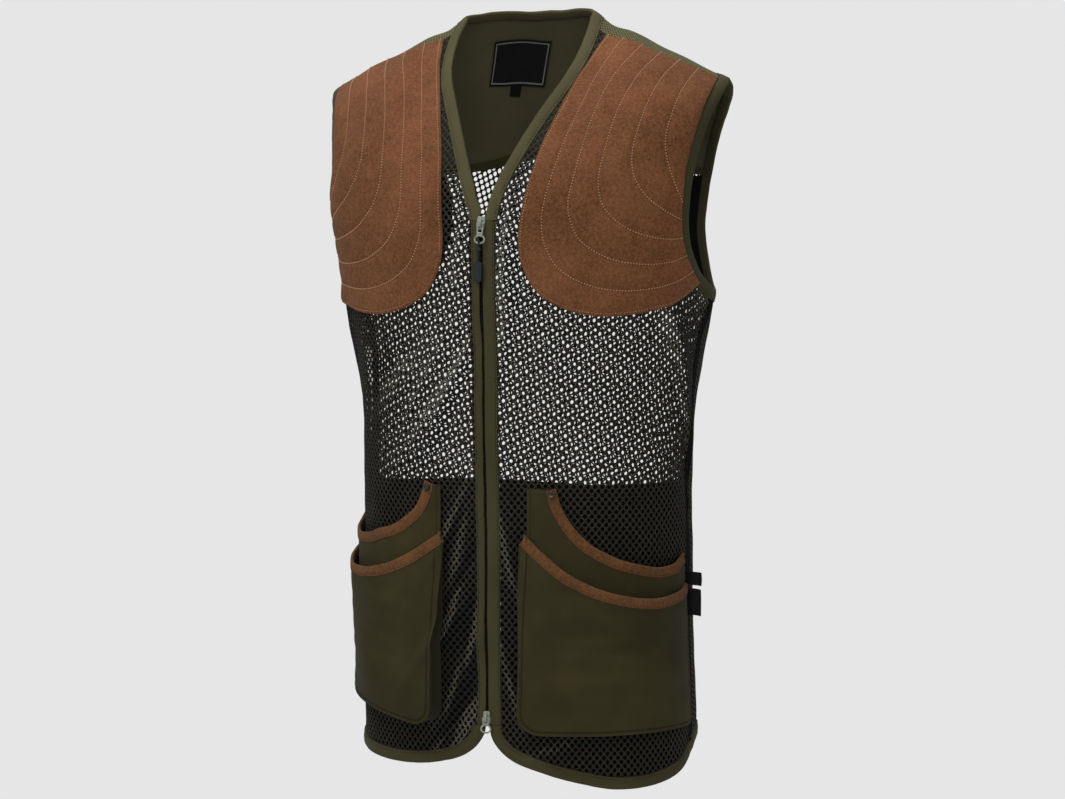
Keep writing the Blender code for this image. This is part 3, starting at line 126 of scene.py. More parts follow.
# The zip and the strips beside it
ZIP_TOP = -0.1900
ZIP_FOOT = -0.6720
STRIP_START = 0.0014
STRIP_RIGHT = 0.0096
STRIP_LEFT = 0.0142
ZIP_TAPE_HALF = 0.0125
ZIP_TAPE_GAP = 0.0009

# The neck's sewing line, from the zip up to the shoulder seam, then round the back
Edge = namedtuple("Edge", "across reach")
NECK_FRONT = (
    Edge(0.0207, -0.1610),
    Edge(0.0385, -0.1130),
    Edge(0.0550, -0.0710),
    Edge(0.0700, -0.0330),
    Edge(0.0780, -0.0050),
    Edge(0.0818, 0.0190),
    Edge(0.0828, 0.0365),
)
NECK_OVER = (
    Edge(0.0828, 0.0365),
    Edge(0.0826, 0.0480),
    Edge(0.0800, 0.0600),
    Edge(0.0690, 0.0810),
    Edge(0.0480, 0.1030),
    Edge(0.0240, 0.1170),
    Edge(0.0000, 0.1210),
)

# The seam in front of the shoulder line, from the neck to the arm
SHOULDER_SEAM = (
    Edge(0.0828, 0.0365),
    Edge(0.1050, 0.0315),
    Edge(0.1400, 0.0255),
    Edge(0.1750, 0.0235),
)
SEAM_AT_ARM = 0.0250

# The armhole's sewing line: degrees past the side, and level, up the front and then down the back
Arm = namedtuple("Arm", "past level")
ARM_UP = (
    Arm(0.0, -0.2660),
    Arm(-8.0, -0.2520),
    Arm(-17.0, -0.2310),
    Arm(-23.0, -0.2090),
    Arm(-26.5, -0.1820),
    Arm(-27.5, -0.1500),
    Arm(-27.0, -0.0950),
    Arm(-26.5, -0.0400),
    Arm(-26.0, 0.0110),
)
ARM_DOWN = (
    Arm(28.0, 0.0120),
    Arm(31.0, -0.0400),
    Arm(36.0, -0.0950),
    Arm(40.5, -0.1500),
    Arm(42.0, -0.1820),
    Arm(39.5, -0.2130),
    Arm(33.0, -0.2400),
    Arm(24.0, -0.2590),
    Arm(12.0, -0.2680),
    Arm(0.1, -0.2660),
)
YOKE_LEVEL = -0.1400

# The hem's outer edge: length from the zip, and the level on the wearer's right and left
Hem = namedtuple("Hem", "across right left")
HEM_FRONT = (
    Hem(0.0014, -0.6720, -0.6720),
    Hem(0.0050, -0.6850, -0.6860),
    Hem(0.0160, -0.6970, -0.6990),
    Hem(0.0330, -0.7060, -0.7090),
    Hem(0.0620, -0.7130, -0.7180),
    Hem(0.0950, -0.7160, -0.7260),
    Hem(0.1300, -0.7150, -0.7310),
    Hem(0.1700, -0.7110, -0.7280),
    Hem(0.2020, -0.7060, -0.7200),
    Hem(0.2190, -0.7000, -0.7110),
    Hem(0.2300, -0.6940, -0.7030),
)
HEM_BACK = (
    Hem(0.0000, -0.7160, -0.7160),
    Hem(0.0900, -0.7100, -0.7100),
    Hem(0.1500, -0.7000, -0.6990),
    Hem(0.1850, -0.6940, -0.6920),
    Hem(0.2120, -0.6930, -0.6950),
    Hem(0.2300, -0.6940, -0.7030),
)

# Rows and columns of the pieces, and points of the armhole's line
ARM_POINTS = 400
FRONT_COLUMNS = 52
SEAM_ROWS = 60
V_ROWS = 12
NECK_ROWS = 36
ARM_OVER_ROWS = 32
ARM_BACK_ROWS = 32
SHOULDER_COLUMNS = 20
NECK_COLUMNS = 30

# The dark lining: its cloth and depth along the armhole's rear edge, and inside each lower front
ARM_LINING_CLOTH = 0.0006
ARM_LINING = 0.030
LINING_CLOTH = 0.0008
LINING_SUNK = 0.0004
LINING_TOPS = (Edge(0.000, -0.4360), Edge(0.070, -0.4390), Edge(0.110, -0.4410), Edge(0.240, -0.4410))

# The shoulder pad's rounded edge on the chest, from the shoulder seam down and out to the armhole
PAD_EDGE = (
    Edge(0.0925, 0.0325),
    Edge(0.0888, 0.0200),
    Edge(0.0818, -0.0050),
    Edge(0.0692, -0.0430),
    Edge(0.0587, -0.0825),
    Edge(0.0495, -0.1220),
    Edge(0.0420, -0.1750),
    Edge(0.0390, -0.2120),
    Edge(0.0430, -0.2360),
    Edge(0.0570, -0.2600),
    Edge(0.0830, -0.2750),
    Edge(0.1150, -0.2815),
    Edge(0.1540, -0.2785),
    Edge(0.1960, -0.2670),
)
PAD_FOOT_LEVEL = -0.2520
PAD_CORE_LEVEL = -0.155
PAD_COLUMNS = 110
PAD_ROWS = 96

# The pad's quilting: its channels, how far its edge seam lies inside, and how near the edge counts as near
QUILT_CHANNELS = 6
QUILT_APART = 0.0160
PAD_EDGE_SEWN = 0.0030
NEAR_EDGE = 0.012

# The pad's height: its suede, the rolled edge, the puffs, the edge seam, and the flatter part by the shoulder
PAD_SUEDE = 0.0010
PAD_ROLL = 0.0012
PAD_ROLL_LIFT = 0.0007
PAD_PUFF = 0.0011
PAD_SEAM_SINK = 0.0002
PAD_SEAM_OUT = 0.0018
PAD_FLAT = 0.022
PAD_FLATTENED = 0.0009

# Pockets: their edges in pattern sizes, and how far they stand out
POCKET_INNER = 0.0450
POCKET_OUTER = 0.2120
POCKET_BOTTOM = -0.6760
POCKET_CORNER = 0.0200
POCKET_CLOTH = 0.0012
BACK_LAYER_TOP = -0.4450
RIM_TAPE = 0.0100
Rim = namedtuple("Rim", "right left reach")
BACK_RIM = (
    Rim(0.0640, 0.0752, -0.4440),
    Rim(0.0668, 0.0780, -0.4560),
    Rim(0.0728, 0.0842, -0.4702),
    Rim(0.0850, 0.0934, -0.4835),
    Rim(0.1010, 0.1057, -0.4961),
    Rim(0.1180, 0.1180, -0.5040),
    Rim(0.1317, 0.1317, -0.5112),
    Rim(0.1506, 0.1506, -0.5168),
    Rim(0.1692, 0.1692, -0.5202),
    Rim(0.1930, 0.1930, -0.5178),
    Rim(0.2120, 0.2120, -0.5100),
)
FRONT_RIM = (
    Edge(0.0450, -0.4875),
    Edge(0.0551, -0.4975),
    Edge(0.0668, -0.5078),
    Edge(0.0786, -0.5180),
    Edge(0.0930, -0.5280),
    Edge(0.1080, -0.5360),
    Edge(0.1240, -0.5422),
    Edge(0.1469, -0.5475),
    Edge(0.1660, -0.5480),
    Edge(0.1910, -0.5445),
    Edge(0.2120, -0.5400),
)

# How each pocket hangs: how far its inner and outer edges lie aside, and how far its outer edge is raised
Hang = namedtuple("Hang", "inner_foot inner_top outer_foot outer_top rise")
POCKET_HANGS = {
    "right": Hang(0.0020, 0.0, 0.0, 0.0, 0.0340),
    "left": Hang(-0.0075, -0.0040, 0.0090, -0.0045, 0.0),
}

# How far the layers stand off the vest: the front's inner edge from the foot up, then the other places
Stand = namedtuple("Stand", "rise inner")
FRONT_STANDS = (
    Stand(0.00, 0.0250),
    Stand(0.35, 0.0220),
    Stand(0.70, 0.0130),
    Stand(1.00, 0.0050),
)
FRONT_STAND_OUTER = 0.0045
FRONT_BELLY = 0.0140
BACK_STAND_EDGE = 0.0027
BACK_BELLY = 0.0065
BACK_BELLY_RISE = 0.06
GUSSET_CLOTH = 0.0009
GUSSET_FOLD = 0.0035
POCKET_COLUMNS = 48
POCKET_ROWS = 44

# Points along a pocket's sewn edge: each side, the rounded inner corner, the foot and the outer corner
SIDE_POINTS = 14
CORNER_POINTS = 9
FOOT_POINTS = 18
FAR_CORNER_POINTS = 5

# A pocket's pressed seam, the bar-tacks at its mouth, and its rivet, from the rim to the middle
POCKET_SEWN = 0.0036
TACK_ASIDE = 0.0022
TACK_RUN = 0.0070
TACK_DROP = 0.001
TACK_OUT = 0.0012
RIVET_OUT = 0.0009
RIVET_RADIUS = 0.0036
RIVET_HEIGHT = 0.0016
RIVET_PROFILE = (
    (1.0, -0.6), (1.03, 0.1), (0.98, 0.6), (0.82, 0.95), (0.62, 0.85), (0.5, 0.62), (0.28, 0.6), (0.16, 0.85)
)

# Labels and side loops
LABEL_WIDTH = 0.0660
LABEL_HEIGHT = 0.0450
LABEL_ACROSS = -0.0415
LABEL_REACH = 0.1600
LABEL_LEAN = 21.0
LABEL_BOW = 0.0034
SIZE_TAB_WIDTH = 0.0125
SIZE_TAB_HEIGHT = 0.0090
LABEL_CLOTH = 0.0010
LABEL_GAP = 0.0012
LABEL_EDGE = 0.0011
LABEL_THICK = 0.0007
FRAME_INSET = 0.0026
SEAM_TAPE = 0.0080
LOOP_THICK = 0.0010
Loop = namedtuple("Loop", "name top bottom reach_out sag")
SIDE_LOOPS = (
    Loop("side_loop_upper", -0.5300, -0.5430, 0.0135, 0.0010),
    Loop("side_loop_lower", -0.5460, -0.5720, 0.0130, 0.0015),
)

# Zip sliders and their pulls
SLIDER_LENGTH = 0.0125
SLIDER_WIDE = 0.0084
SLIDER_NARROW = 0.0062
SLIDER_PLATE = 0.0016
SLIDER_OUT = 0.0009
Station = namedtuple("Station", "width share up")
SLIDER_SHAPE = (
    Station(SLIDER_NARROW, 0.80, -1.00),
    Station(SLIDER_NARROW, 1.00, -0.86),
    Station(SLIDER_NARROW, 1.04, -0.30),
    Station(SLIDER_WIDE, 0.98, 0.20),
    Station(SLIDER_WIDE, 1.00, 0.42),
    Station(SLIDER_WIDE, 0.90, 0.86),
    Station(SLIDER_WIDE, 0.62, 1.00),
)
BAIL_WIDTH = 0.0028
BAIL_LENGTH = 0.0076
BAIL_HEIGHT = 0.0040
BAIL_WALL = 0.0011
TOP_SLIDER_REACH = -0.1945
BOTTOM_SLIDER_REACH = -0.6650
PULL_THICK = 0.0012
PULL_PLAY = 0.0005
TOP_PULL_LENGTH = 0.0155
BOTTOM_PULL_LENGTH = 0.0105
PULL_WIDTH = 0.0074
PULL_BAR = 0.0013
PULL_TAPER = 0.86
EYE_WIDTH = 0.0042
EYE_LENGTH = 0.0050
PULL_NECK = 0.0022
RING_OUTER = 0.0057
RING_INNER = 0.0042
RING_FLAT = 0.80
HOLE_FLAT = 0.68
CORD_RADIUS = 0.0008
CORD_APART = 0.0011
CORD_DROP = 0.0165
COLLAR_WALL = 0.0010
COLLAR_LENGTH = 0.0028
COLLAR_DROP = 0.0032
COLLAR_HOLE_BEND = 0.0003
GRIP_WIDTH = 0.0080
GRIP_LENGTH = 0.0190
GRIP_THICK = 0.0036
GRIP_CORNER = 0.0025

# Finer creases than the solids hold: where, which way they run, their half length, half width and height
CREASES = (
    Fold(-0.037, -0.358, 27, 0.060, 0.0060, 0.0022),
    Fold(-0.022, -0.352, 25, 0.050, 0.0050, -0.0014),
    Fold(-0.066, -0.352, 33, 0.050, 0.0075, 0.0016),
    Fold(-0.030, -0.640, 22, 0.060, 0.0070, 0.0036),
    Fold(-0.018, -0.590, 10, 0.050, 0.0050, -0.0026),
    Fold(-0.026, -0.690, 40, 0.030, 0.0060, 0.0028),
    Fold(-0.044, -0.500, 26, 0.045, 0.0045, 0.0030),
    Fold(-0.040, -0.560, 30, 0.055, 0.0050, -0.0026),
    Fold(-0.050, -0.600, 34, 0.050, 0.0048, 0.0030),
    Fold(-0.044, -0.680, 44, 0.040, 0.0052, -0.0022),
    Fold(0.024, -0.505, -12, 0.050, 0.0050, 0.0030),
    Fold(0.034, -0.560, -6, 0.045, 0.0060, -0.0022),
    Fold(0.030, -0.640, -14, 0.050, 0.0052, 0.0026),
    Fold(0.026, -0.225, 8, 0.028, 0.0045, 0.0018),
    Fold(0.034, -0.262, -14, 0.026, 0.0050, -0.0014),
    Fold(0.024, -0.300, 12, 0.026, 0.0045, 0.0014),
    Fold(0.030, -0.340, -10, 0.030, 0.0055, -0.0012),
    Fold(-0.022, -0.255, -9, 0.026, 0.0045, 0.0016),
    Fold(-0.030, -0.220, 10, 0.024, 0.0050, -0.0012),
    Fold(0.100, -0.330, -58, 0.050, 0.0080, 0.0016),
    Fold(0.150, -0.400, -50, 0.050, 0.0090, 0.0018),
    Fold(0.200, -0.300, -28, 0.045, 0.0080, 0.0024),
    Fold(0.215, -0.360, -18, 0.060, 0.0075, 0.0020),
    Fold(0.225, -0.430, -8, 0.060, 0.0070, -0.0016),
    Fold(-0.200, -0.300, 28, 0.045, 0.0080, 0.0022),
    Fold(-0.218, -0.380, 12, 0.070, 0.0075, 0.0020),
    Fold(0.060, -0.700, 70, 0.050, 0.0080, 0.0014),
    Fold(0.200, 0.400, -24, 0.060, 0.0100, 0.0020),
    Fold(0.175, 0.440, -30, 0.070, 0.0110, -0.0014),
    Fold(-0.200, 0.405, 26, 0.060, 0.0100, 0.0020),
    Fold(-0.165, 0.455, 32, 0.070, 0.0110, -0.0014),
    Fold(0.030, 0.560, 20, 0.080, 0.0110, 0.0014),
    Fold(-0.050, 0.600, -16, 0.080, 0.0110, -0.0012),
    Fold(0.100, 0.640, -12, 0.090, 0.0120, 0.0016),
    Fold(-0.130, 0.660, 10, 0.090, 0.0120, 0.0016),
    Fold(0.020, 0.730, 4, 0.060, 0.0100, 0.0020),
    Fold(0.060, 0.180, 62, 0.050, 0.0120, 0.0014),
    Fold(-0.070, 0.190, -60, 0.050, 0.0120, 0.0014),
)

# The net's staggered holes: their spacing, the room between them, and the strands' thickness
NET_WIDE = 0.00670
NET_HIGH = 0.00805
HOLE_WIDE = 0.00350
HOLE_HIGH = 0.00465
STRAND = 0.0010
BACK_NET_LEAN = 30

# How far the net runs past a sewn edge, how far it stops short of a side seam, and how its cells are joined
NET_TUCK = 0.0035
NET_SHORT = -0.001
CELL_WELD = 0.00005
SKIN_WELD = 0.00001
FORM_STEP = 0.003
# The step that the net's painted fold light reads the folds with, and how strongly a fold's slope lightens
# and darkens the strands
FOLD_LIGHT_STEP = 0.0010
FOLD_LIGHT_STRENGTH = 0.55

# Threads and stitches: a stitch's stations along it, how full it is there and how far it dips
STITCH = 0.0034
STITCH_LONG = 0.0024
THREAD = 0.00034
QUILT_STITCH = 0.0028
QUILT_STITCH_LONG = 0.0014
QUILT_THREAD = 0.00082
THREAD_OUT = 0.0003
TACK_STEP = 0.0007
TACK_LONG = 0.0018
STITCH_SIDES = 4
Dip = namedtuple("Dip", "along full drop")
STITCH_STATIONS = (Dip(-0.5, 0.35, -0.6), Dip(-0.3, 0.95, 0.0), Dip(0.3, 0.95, 0.0), Dip(0.5, 0.35, -0.6))

# Each seam's stitch, its spacing and its thread
SEWING = {
    "tan": ("quilt_stitch", QUILT_STITCH, "tan"),
    "olive": ("stitch", STITCH, "olive"),
    "light": ("stitch", STITCH, "light"),
    "brown": ("stitch", STITCH, "brown"),
    "black": ("stitch", STITCH, "black"),
    "tack": ("tack", TACK_STEP, "brown"),
}

# The zip's tape, the ridge along its middle (how far across, and how high), and its teeth
ZIP_TAPE_MORE = 0.0008
ZIP_TAPE_CLOTH = 0.0008
ZIP_RIDGE_FOOT = 0.0011
ZIP_RIDGE = (0.0008, -0.0007)
TEETH_END = 0.002
TEETH_OUT = -0.0004
TOOTH_STEP = 0.0018
TOOTH_LONG = 0.00092
TOOTH_WIDE = 0.00156
TOOTH_ACROSS = 0.00052

# Edge tapes: their laps, how unevenly they run, and their seams' distance from the sewn edge and heights
NECK_LAP = 0.0016
BINDING_LAP = 0.0016
BINDING_WANDER = 0.00015
BINDING_SWELL = 0.0002
TAPE_SEAM = 0.0009
TAPE_SEAM_HEIGHTS = (0.0010, -0.0028)
STRIP_LAP = 0.0003
STRIP_SEAM = 0.0014
STRIP_SEAM_HEIGHT = 0.0008

# A binding's section: how far from the sewn edge as a share, further by how much, and its height
Profile = namedtuple("Profile", "share more out")
BINDING = (
    Profile(0.0, 0.0000, -0.0021),
    Profile(0.0, 0.0000, 0.0007),
    Profile(0.0, 0.0006, 0.0012),
    Profile(0.0, 0.0017, 0.0008),
    Profile(0.0, 0.0032, 0.0013),
    Profile(0.5, 0.0000, 0.0015),
    Profile(1.0, -0.0014, 0.0012),
    Profile(1.0, -0.0003, 0.0005),
    Profile(1.0, 0.0000, -0.0006),
    Profile(1.0, -0.0003, -0.0017),
    Profile(1.0, -0.0014, -0.0025),
    Profile(0.5, 0.0000, -0.0029),
    Profile(0.0, 0.0032, -0.0027),
    Profile(0.0, 0.0006, -0.0025),
)
STRIP = (
    Profile(0.0, 0.0000, -0.0020),
    Profile(0.0, 0.0000, 0.0005),
    Profile(0.0, 0.0004, 0.0009),
    Profile(0.0, 0.0014, 0.0005),
    Profile(0.0, 0.0026, 0.0009),
    Profile(0.5, 0.0004, 0.0011),
    Profile(1.0, -0.0010, 0.0010),
    Profile(1.0, -0.0001, 0.0005),
    Profile(1.0, 0.0000, -0.0004),
    Profile(1.0, -0.0004, -0.0014),
    Profile(0.5, 0.0000, -0.0018),
)

# A pocket rim's section, its heights from the middle of the layer, and its two seams
RIM = (
    Profile(0.0, 0.0002, -0.0015),
    Profile(0.0, 0.0002, 0.0011),
    Profile(0.0, 0.0010, 0.0015),
    Profile(0.0, 0.0019, 0.0012),
    Profile(0.0, 0.0030, 0.0016),
    Profile(0.5, 0.0000, 0.0018),
    Profile(1.0, -0.0012, 0.0016),
    Profile(1.0, -0.0002, 0.0009),
    Profile(1.0, 0.0000, 0.0000),
    Profile(1.0, -0.0002, -0.0009),
    Profile(1.0, -0.0012, -0.0015),
    Profile(0.5, 0.0000, -0.0018),
)
RIM_STEP = 0.0018
RIM_SEAM = 0.0019
RIM_SEAM_HEIGHTS = (0.0015, -0.0018)

# The yoke's heights; the tape over its seam: shares of its width, and how far its underside is sunk
YOKE_HEIGHTS = (-0.0013, 0.0005)
SEAM_TAPE_SEWN = 0.3 * SEAM_TAPE
Ridge = namedtuple("Ridge", "share sunk")
SEAM_TAPE_SECTION = (
    Ridge(0.50, 0.0005),
    Ridge(0.44, 0.0),
    Ridge(0.30, 0.0003),
    Ridge(0.10, 0.0),
    Ridge(-0.10, 0.0),
    Ridge(-0.30, 0.0003),
    Ridge(-0.44, 0.0),
    Ridge(-0.50, 0.0005),
)

# The overlocked side seam: how far aside and how high
Lock = namedtuple("Lock", "aside out")
OVERLOCK = (
    Lock(-0.0050, -0.0004),
    Lock(-0.0044, 0.0004),
    Lock(-0.0008, 0.0006),
    Lock(0.0, 0.0002),
    Lock(0.0008, 0.0006),
    Lock(0.0044, 0.0004),
    Lock(0.0050, -0.0004),
)
OVERLOCK_UNDER = -0.0016
OVERLOCK_SEWN = 0.0030
OVERLOCK_OUT = 0.0006

# Colours, dark and light, as the eye sees them: the olives with their rib, the suedes and the threads
DIMPLE_STEP = 0.0030
OLIVES = {
    # The yoke's inside is made lighter than its cloth is, as painted light on the inside that faces out
    # through the neck
    "inside": ((74, 71, 49), (124, 119, 88), 0.0009),
    "tape": ((50, 47, 28), (93, 87, 57), 0.0008),
    # The neck tape is the tape's olive made lighter: painted light where the rolled neck edge catches the
    # light
    "neck_tape": ((60, 56, 36), (112, 105, 72), 0.0008),
    "gusset": ((34, 32, 20), (60, 57, 37), 0.0009),
}
SUEDES = {
    "suede": ((56, 35, 20), (168, 110, 74)),
    "suede_back": ((96, 66, 45), (134, 96, 66)),
    "suede_rim": ((62, 42, 26), (150, 104, 66)),
}
THREADS = {
    "tan": (226, 178, 138),
    "brown": (120, 68, 42),
    "olive": (44, 42, 28),
    "light": (118, 112, 84),
    "black": (26, 26, 26),
}
THREAD_SHADE = 0.72

# The point of view: degrees round from the front and up, distance, the level it looks at, lens and shift
VIEW_TURN = 23
VIEW_LIFT = 3
VIEW_DISTANCE = 3.0
VIEW_LEVEL = -0.367
VIEW_LENS = 103.13
VIEW_SHIFT = 0.00235

# The floor, the backdrop, the room's light, and the lamps: name, place, aim, size, power and colour
FLOOR_LEVEL = -1.35
BACKDROP = (0.791, 0.791, 0.791, 1)
AMBIENT = 0.22
LAMPS = (
    ("key", (-0.9, -1.5, 2.1), (0, 0, -0.15), 1.4, 34, (1.0, 0.99, 0.97)),
    ("fill", (1.4, -3.0, 0.7), (0, 0, -0.2), 2.0, 20, (1.0, 0.99, 0.97)),
    ("top", (0.1, 0.2, 2.0), (0, 0, -0.1), 1.6, 16, (1, 1, 1)),
    ("behind", (-0.8, 2.6, 0.9), (0, 0, -0.35), 2.0, 12, (1, 1, 1)),
)


def waves(across, reach, size, seed):
    """Soft uneven swells of about this size, between about -1 and 1."""
    rng = np.random.default_rng(seed)
    total = np.zeros(np.broadcast(across, reach).shape)
    for _ in range(7):
        turn, phase, stretch = rng.uniform(0, 2 * math.pi, 2).tolist() + [rng.uniform(0.7, 1.5)]
        way = 2 * math.pi / (size * stretch)
        total += np.sin((across * math.cos(turn) + reach * math.sin(turn)) * way + phase)
    return total / 3.2


def fold_height(across, reach):
    """How far the folds and creases lift the cloth here."""
    height = np.zeros(np.broadcast(across, reach).shape)
    for fold in FOLDS + CREASES:
        lean = math.radians(fold.lean)
        side = (across - fold.across) * math.cos(lean) - (reach - fold.reach) * math.sin(lean)
        along = (across - fold.across) * math.sin(lean) + (reach - fold.reach) * math.cos(lean)
        bend = along + 0.25 * fold.length * np.sin(side / fold.width)
        height += fold.height * np.exp(-((side / fold.width) ** 2) - (bend / fold.length) ** 2)
    return height + 0.0004 * waves(across, reach, 0.045, 3)


def smooth(table, column, at):
    """A column of a table read off at any value of its first column, with no overshoot."""
    key = table[0]._fields[0]
    rows = sorted(table, key=lambda row: getattr(row, key))
    xs = np.array([getattr(row, key) for row in rows])
    ys = np.array([getattr(row, column) for row in rows])
    widths = np.diff(xs)
    slopes = np.diff(ys) / widths
    tangents = np.zeros(len(ys))
    same = slopes[:-1] * slopes[1:] > 0
    mean = (slopes[:-1] * widths[1:] + slopes[1:] * widths[:-1]) / (widths[:-1] + widths[1:])
    tangents[1:-1] = np.where(same, mean, 0.0)
    tangents[0] = slopes[0]
    tangents[-1] = slopes[-1]
    at = np.clip(np.asarray(at, float), xs[0], xs[-1])
    i = np.clip(np.searchsorted(xs, at) - 1, 0, len(widths) - 1)
    w = widths[i]
    f = (at - xs[i]) / w
    rise = (2 * f**3 - 3 * f**2 + 1) * ys[i] + (3 * f**2 - 2 * f**3) * ys[i + 1]
    lean = (f**3 - 2 * f**2 + f) * tangents[i] + (f**3 - f**2) * tangents[i + 1]
    return rise + lean * w


def level_of(climb):
    """The body's level at this many turns above the chest."""
    up = np.clip(climb, 0, math.pi / 2)
    return np.where(climb > 0, CHEST_LEVEL * (1 - np.sin(up)), CHEST_LEVEL + climb * REACH_PER_TURN)


def section_point(degrees, climb):
    """The worn form without folds, by degrees from the centre front and turns climbed above the chest."""
    angle = np.radians(degrees)
    up = np.clip(climb, 0, math.pi / 2)
    level = level_of(climb)
    front = np.cos(angle) >= 0
    square_front, square_back = (smooth(SECTIONS, name, level) for name in ("front_square", "back_square"))
    square = np.where(front, square_front, square_back)
    depth = np.where(front, smooth(SECTIONS, "front_depth", level), smooth(SECTIONS, "back_depth", level))
    x = smooth(SECTIONS, "half_width", level) * np.abs(np.sin(angle)) ** (2 / square)
    y = -np.sign(np.cos(angle)) * depth * np.abs(np.cos(angle)) ** (2 / square) * np.cos(up)
    ridge = smooth(SHOULDERS, "height", x)
    slack = np.where(front, smooth(SHOULDERS, "front_slack", x), smooth(SHOULDERS, "back_slack", x))
    fall = (1 - slack) * (1 - np.sin(up)) + slack * (1 - 2 * up / math.pi)
    z = np.where(climb > 0, ridge - (ridge - CHEST_LEVEL) * fall, level)
    return x, y, z, smooth(SECTIONS, "sway", level)


def slide_at(climb):
    """How far the vest has slipped round the body here."""
    return smooth(SECTIONS, "slide", level_of(climb))


class RingTable:
    """Lengths along every ring of the form, so that pattern sizes can be laid on it."""

    def __init__(self):
        self.climbs = np.linspace(-3.95, math.pi / 2, 240)
        self.degrees = np.linspace(0, 180, 361)
        self.middle = len(self.degrees) // 2
        degrees, climbs = np.meshgrid(self.degrees, self.climbs)
        x, y, z, _ = section_point(degrees, climbs)
        steps = np.sqrt(np.diff(x) ** 2 + np.diff(y) ** 2 + np.diff(z) ** 2)
        self.lengths = np.concatenate([np.zeros((len(self.climbs), 1)), np.cumsum(steps, axis=1)], axis=1)
        self.front = self.lengths[:, self.middle]
        self.back = self.lengths[:, -1] - self.front
        shares = np.linspace(0, 1, 241)
        self.front_angles = np.array(
            [np.interp(shares * row[self.middle], row, self.degrees) for row in self.lengths]
        )
        self.back_angles = np.array([
            np.interp(row[-1] - shares * (row[-1] - row[self.middle]), row, self.degrees)
            for row in self.lengths
        ])

    def step(self, climb):
        """The ring below this climb, and how far on from it the climb is."""
        gap = self.climbs[1] - self.climbs[0]
        spot = np.clip((climb - self.climbs[0]) / gap, 0, len(self.climbs) - 1.001)
        low = spot.astype(int)
        return low, spot - low

    def quarter(self, climb, behind):
        """The length of a ring from the centre line to the side."""
        low, part = self.step(climb)
        front = self.front[low] * (1 - part) + self.front[low + 1] * part
        back = self.back[low] * (1 - part) + self.back[low + 1] * part
        return np.where(behind, back, front)

    def read(self, table, climb, share):
        """A table's value at this climb and this share of its columns."""
        low, part = self.step(climb)
        spot = np.clip(share * (table.shape[1] - 1), 0, table.shape[1] - 1.001)
        left = spot.astype(int)
        f = spot - left
        under = table[low, left] * (1 - f) + table[low, left + 1] * f
        over = table[low + 1, left] * (1 - f) + table[low + 1, left + 1] * f
        return under * (1 - part) + over * part

    def angle(self, climb, behind, share):
        """Degrees from the centre front at a share of a quarter ring."""
        back, front = (self.read(table, climb, share) for table in (self.back_angles, self.front_angles))
        return np.where(behind, back, front)

    def across(self, climb, degrees):
        """Length from the centre front, or from the centre back past the side, to this angle."""
        length = self.read(self.lengths, climb, np.asarray(degrees) / 180)
        total = self.quarter(climb, False) + self.quarter(climb, True)
        return np.where(np.asarray(degrees) > 90, total - length, length)


RINGS = RingTable()


def bare(across, reach):
    """The middle-of-cloth point at a place on the pattern, wrapped round the side past the quarter."""
    across, reach = np.broadcast_arrays(np.asarray(across, float), np.asarray(reach, float))
    turn = (reach - CHEST_LEVEL) / REACH_PER_TURN
    behind = turn > math.pi / 2
    climb = np.where(behind, math.pi - turn, turn)
    across = across + np.where(behind, -1, 1) * slide_at(climb)
    far = np.abs(across)
    quarter = RINGS.quarter(climb, behind)
    past = far > quarter
    other = RINGS.quarter(climb, ~behind)
    share = np.where(past, (quarter + other - far) / other, far / quarter)
    degrees = RINGS.angle(climb, behind ^ past, share)
    x, y, z, sway = section_point(degrees, climb)
    return np.stack([np.where(across < 0, -x, x) + sway, y, z], axis=-1)


def directions(across, reach):
    """How the face runs per unit of across and of reach."""
    sideways = (bare(across + NUDGE, reach) - bare(across - NUDGE, reach)) / (2 * NUDGE)
    upward = (bare(across, reach + NUDGE) - bare(across, reach - NUDGE)) / (2 * NUDGE)
    return sideways, upward


def outward(across, reach):
    """The face's unit normal, away from the hollow."""
    normal = np.cross(*directions(across, reach))
    return normal / np.linalg.norm(normal, axis=-1, keepdims=True)


def place(path, out=0.0):
    """Points of the worn cloth, moved out of its face."""
    path = np.asarray(path, float)
    across, reach = path[..., 0], path[..., 1]
    out = np.asarray(out, float) + fold_height(across, reach)
    return bare(across, reach) + outward(across, reach) * out[..., None]


def behind_level(level):
    """The reach of a level of the back."""
    return 2 * RIDGE_REACH - level


def climb_of(level):
    """How many turns a level lies above the chest."""
    return np.asarray((level - CHEST_LEVEL) / REACH_PER_TURN, float)


def run_length(points):
    """How far along a line of points each of them lies."""
    return np.concatenate([[0], np.cumsum(np.linalg.norm(np.diff(points, axis=0), axis=1))])


def along_line(line, shares):
    """Points at these shares of a line's length."""
    length = run_length(line)
    at = np.asarray(shares) * length[-1]
    return np.stack([np.interp(at, length, line[:, k]) for k in range(line.shape[1])], axis=1)


def curve(rows, count):
    """Evenly spaced points on a soft curve through a table's rows."""
    points = np.array([tuple(row)[:2] for row in rows], float)
    ends = np.concatenate([2 * points[:1] - points[1:2], points, 2 * points[-1:] - points[-2:-1]])
    dense = []
    for a, b, c, d in zip(ends, ends[1:], ends[2:], ends[3:]):
        for t in np.linspace(0, 1, 24, endpoint=False):
            straight = b + t * (c - a) / 2
            bent = t**2 * (a - 2.5 * b + 2 * c - d / 2) + t**3 * (1.5 * (b - c) + (d - a) / 2)
            dense.append(straight + bent)
    dense.append(points[-1])
    return along_line(np.array(dense), np.linspace(0, 1, count))


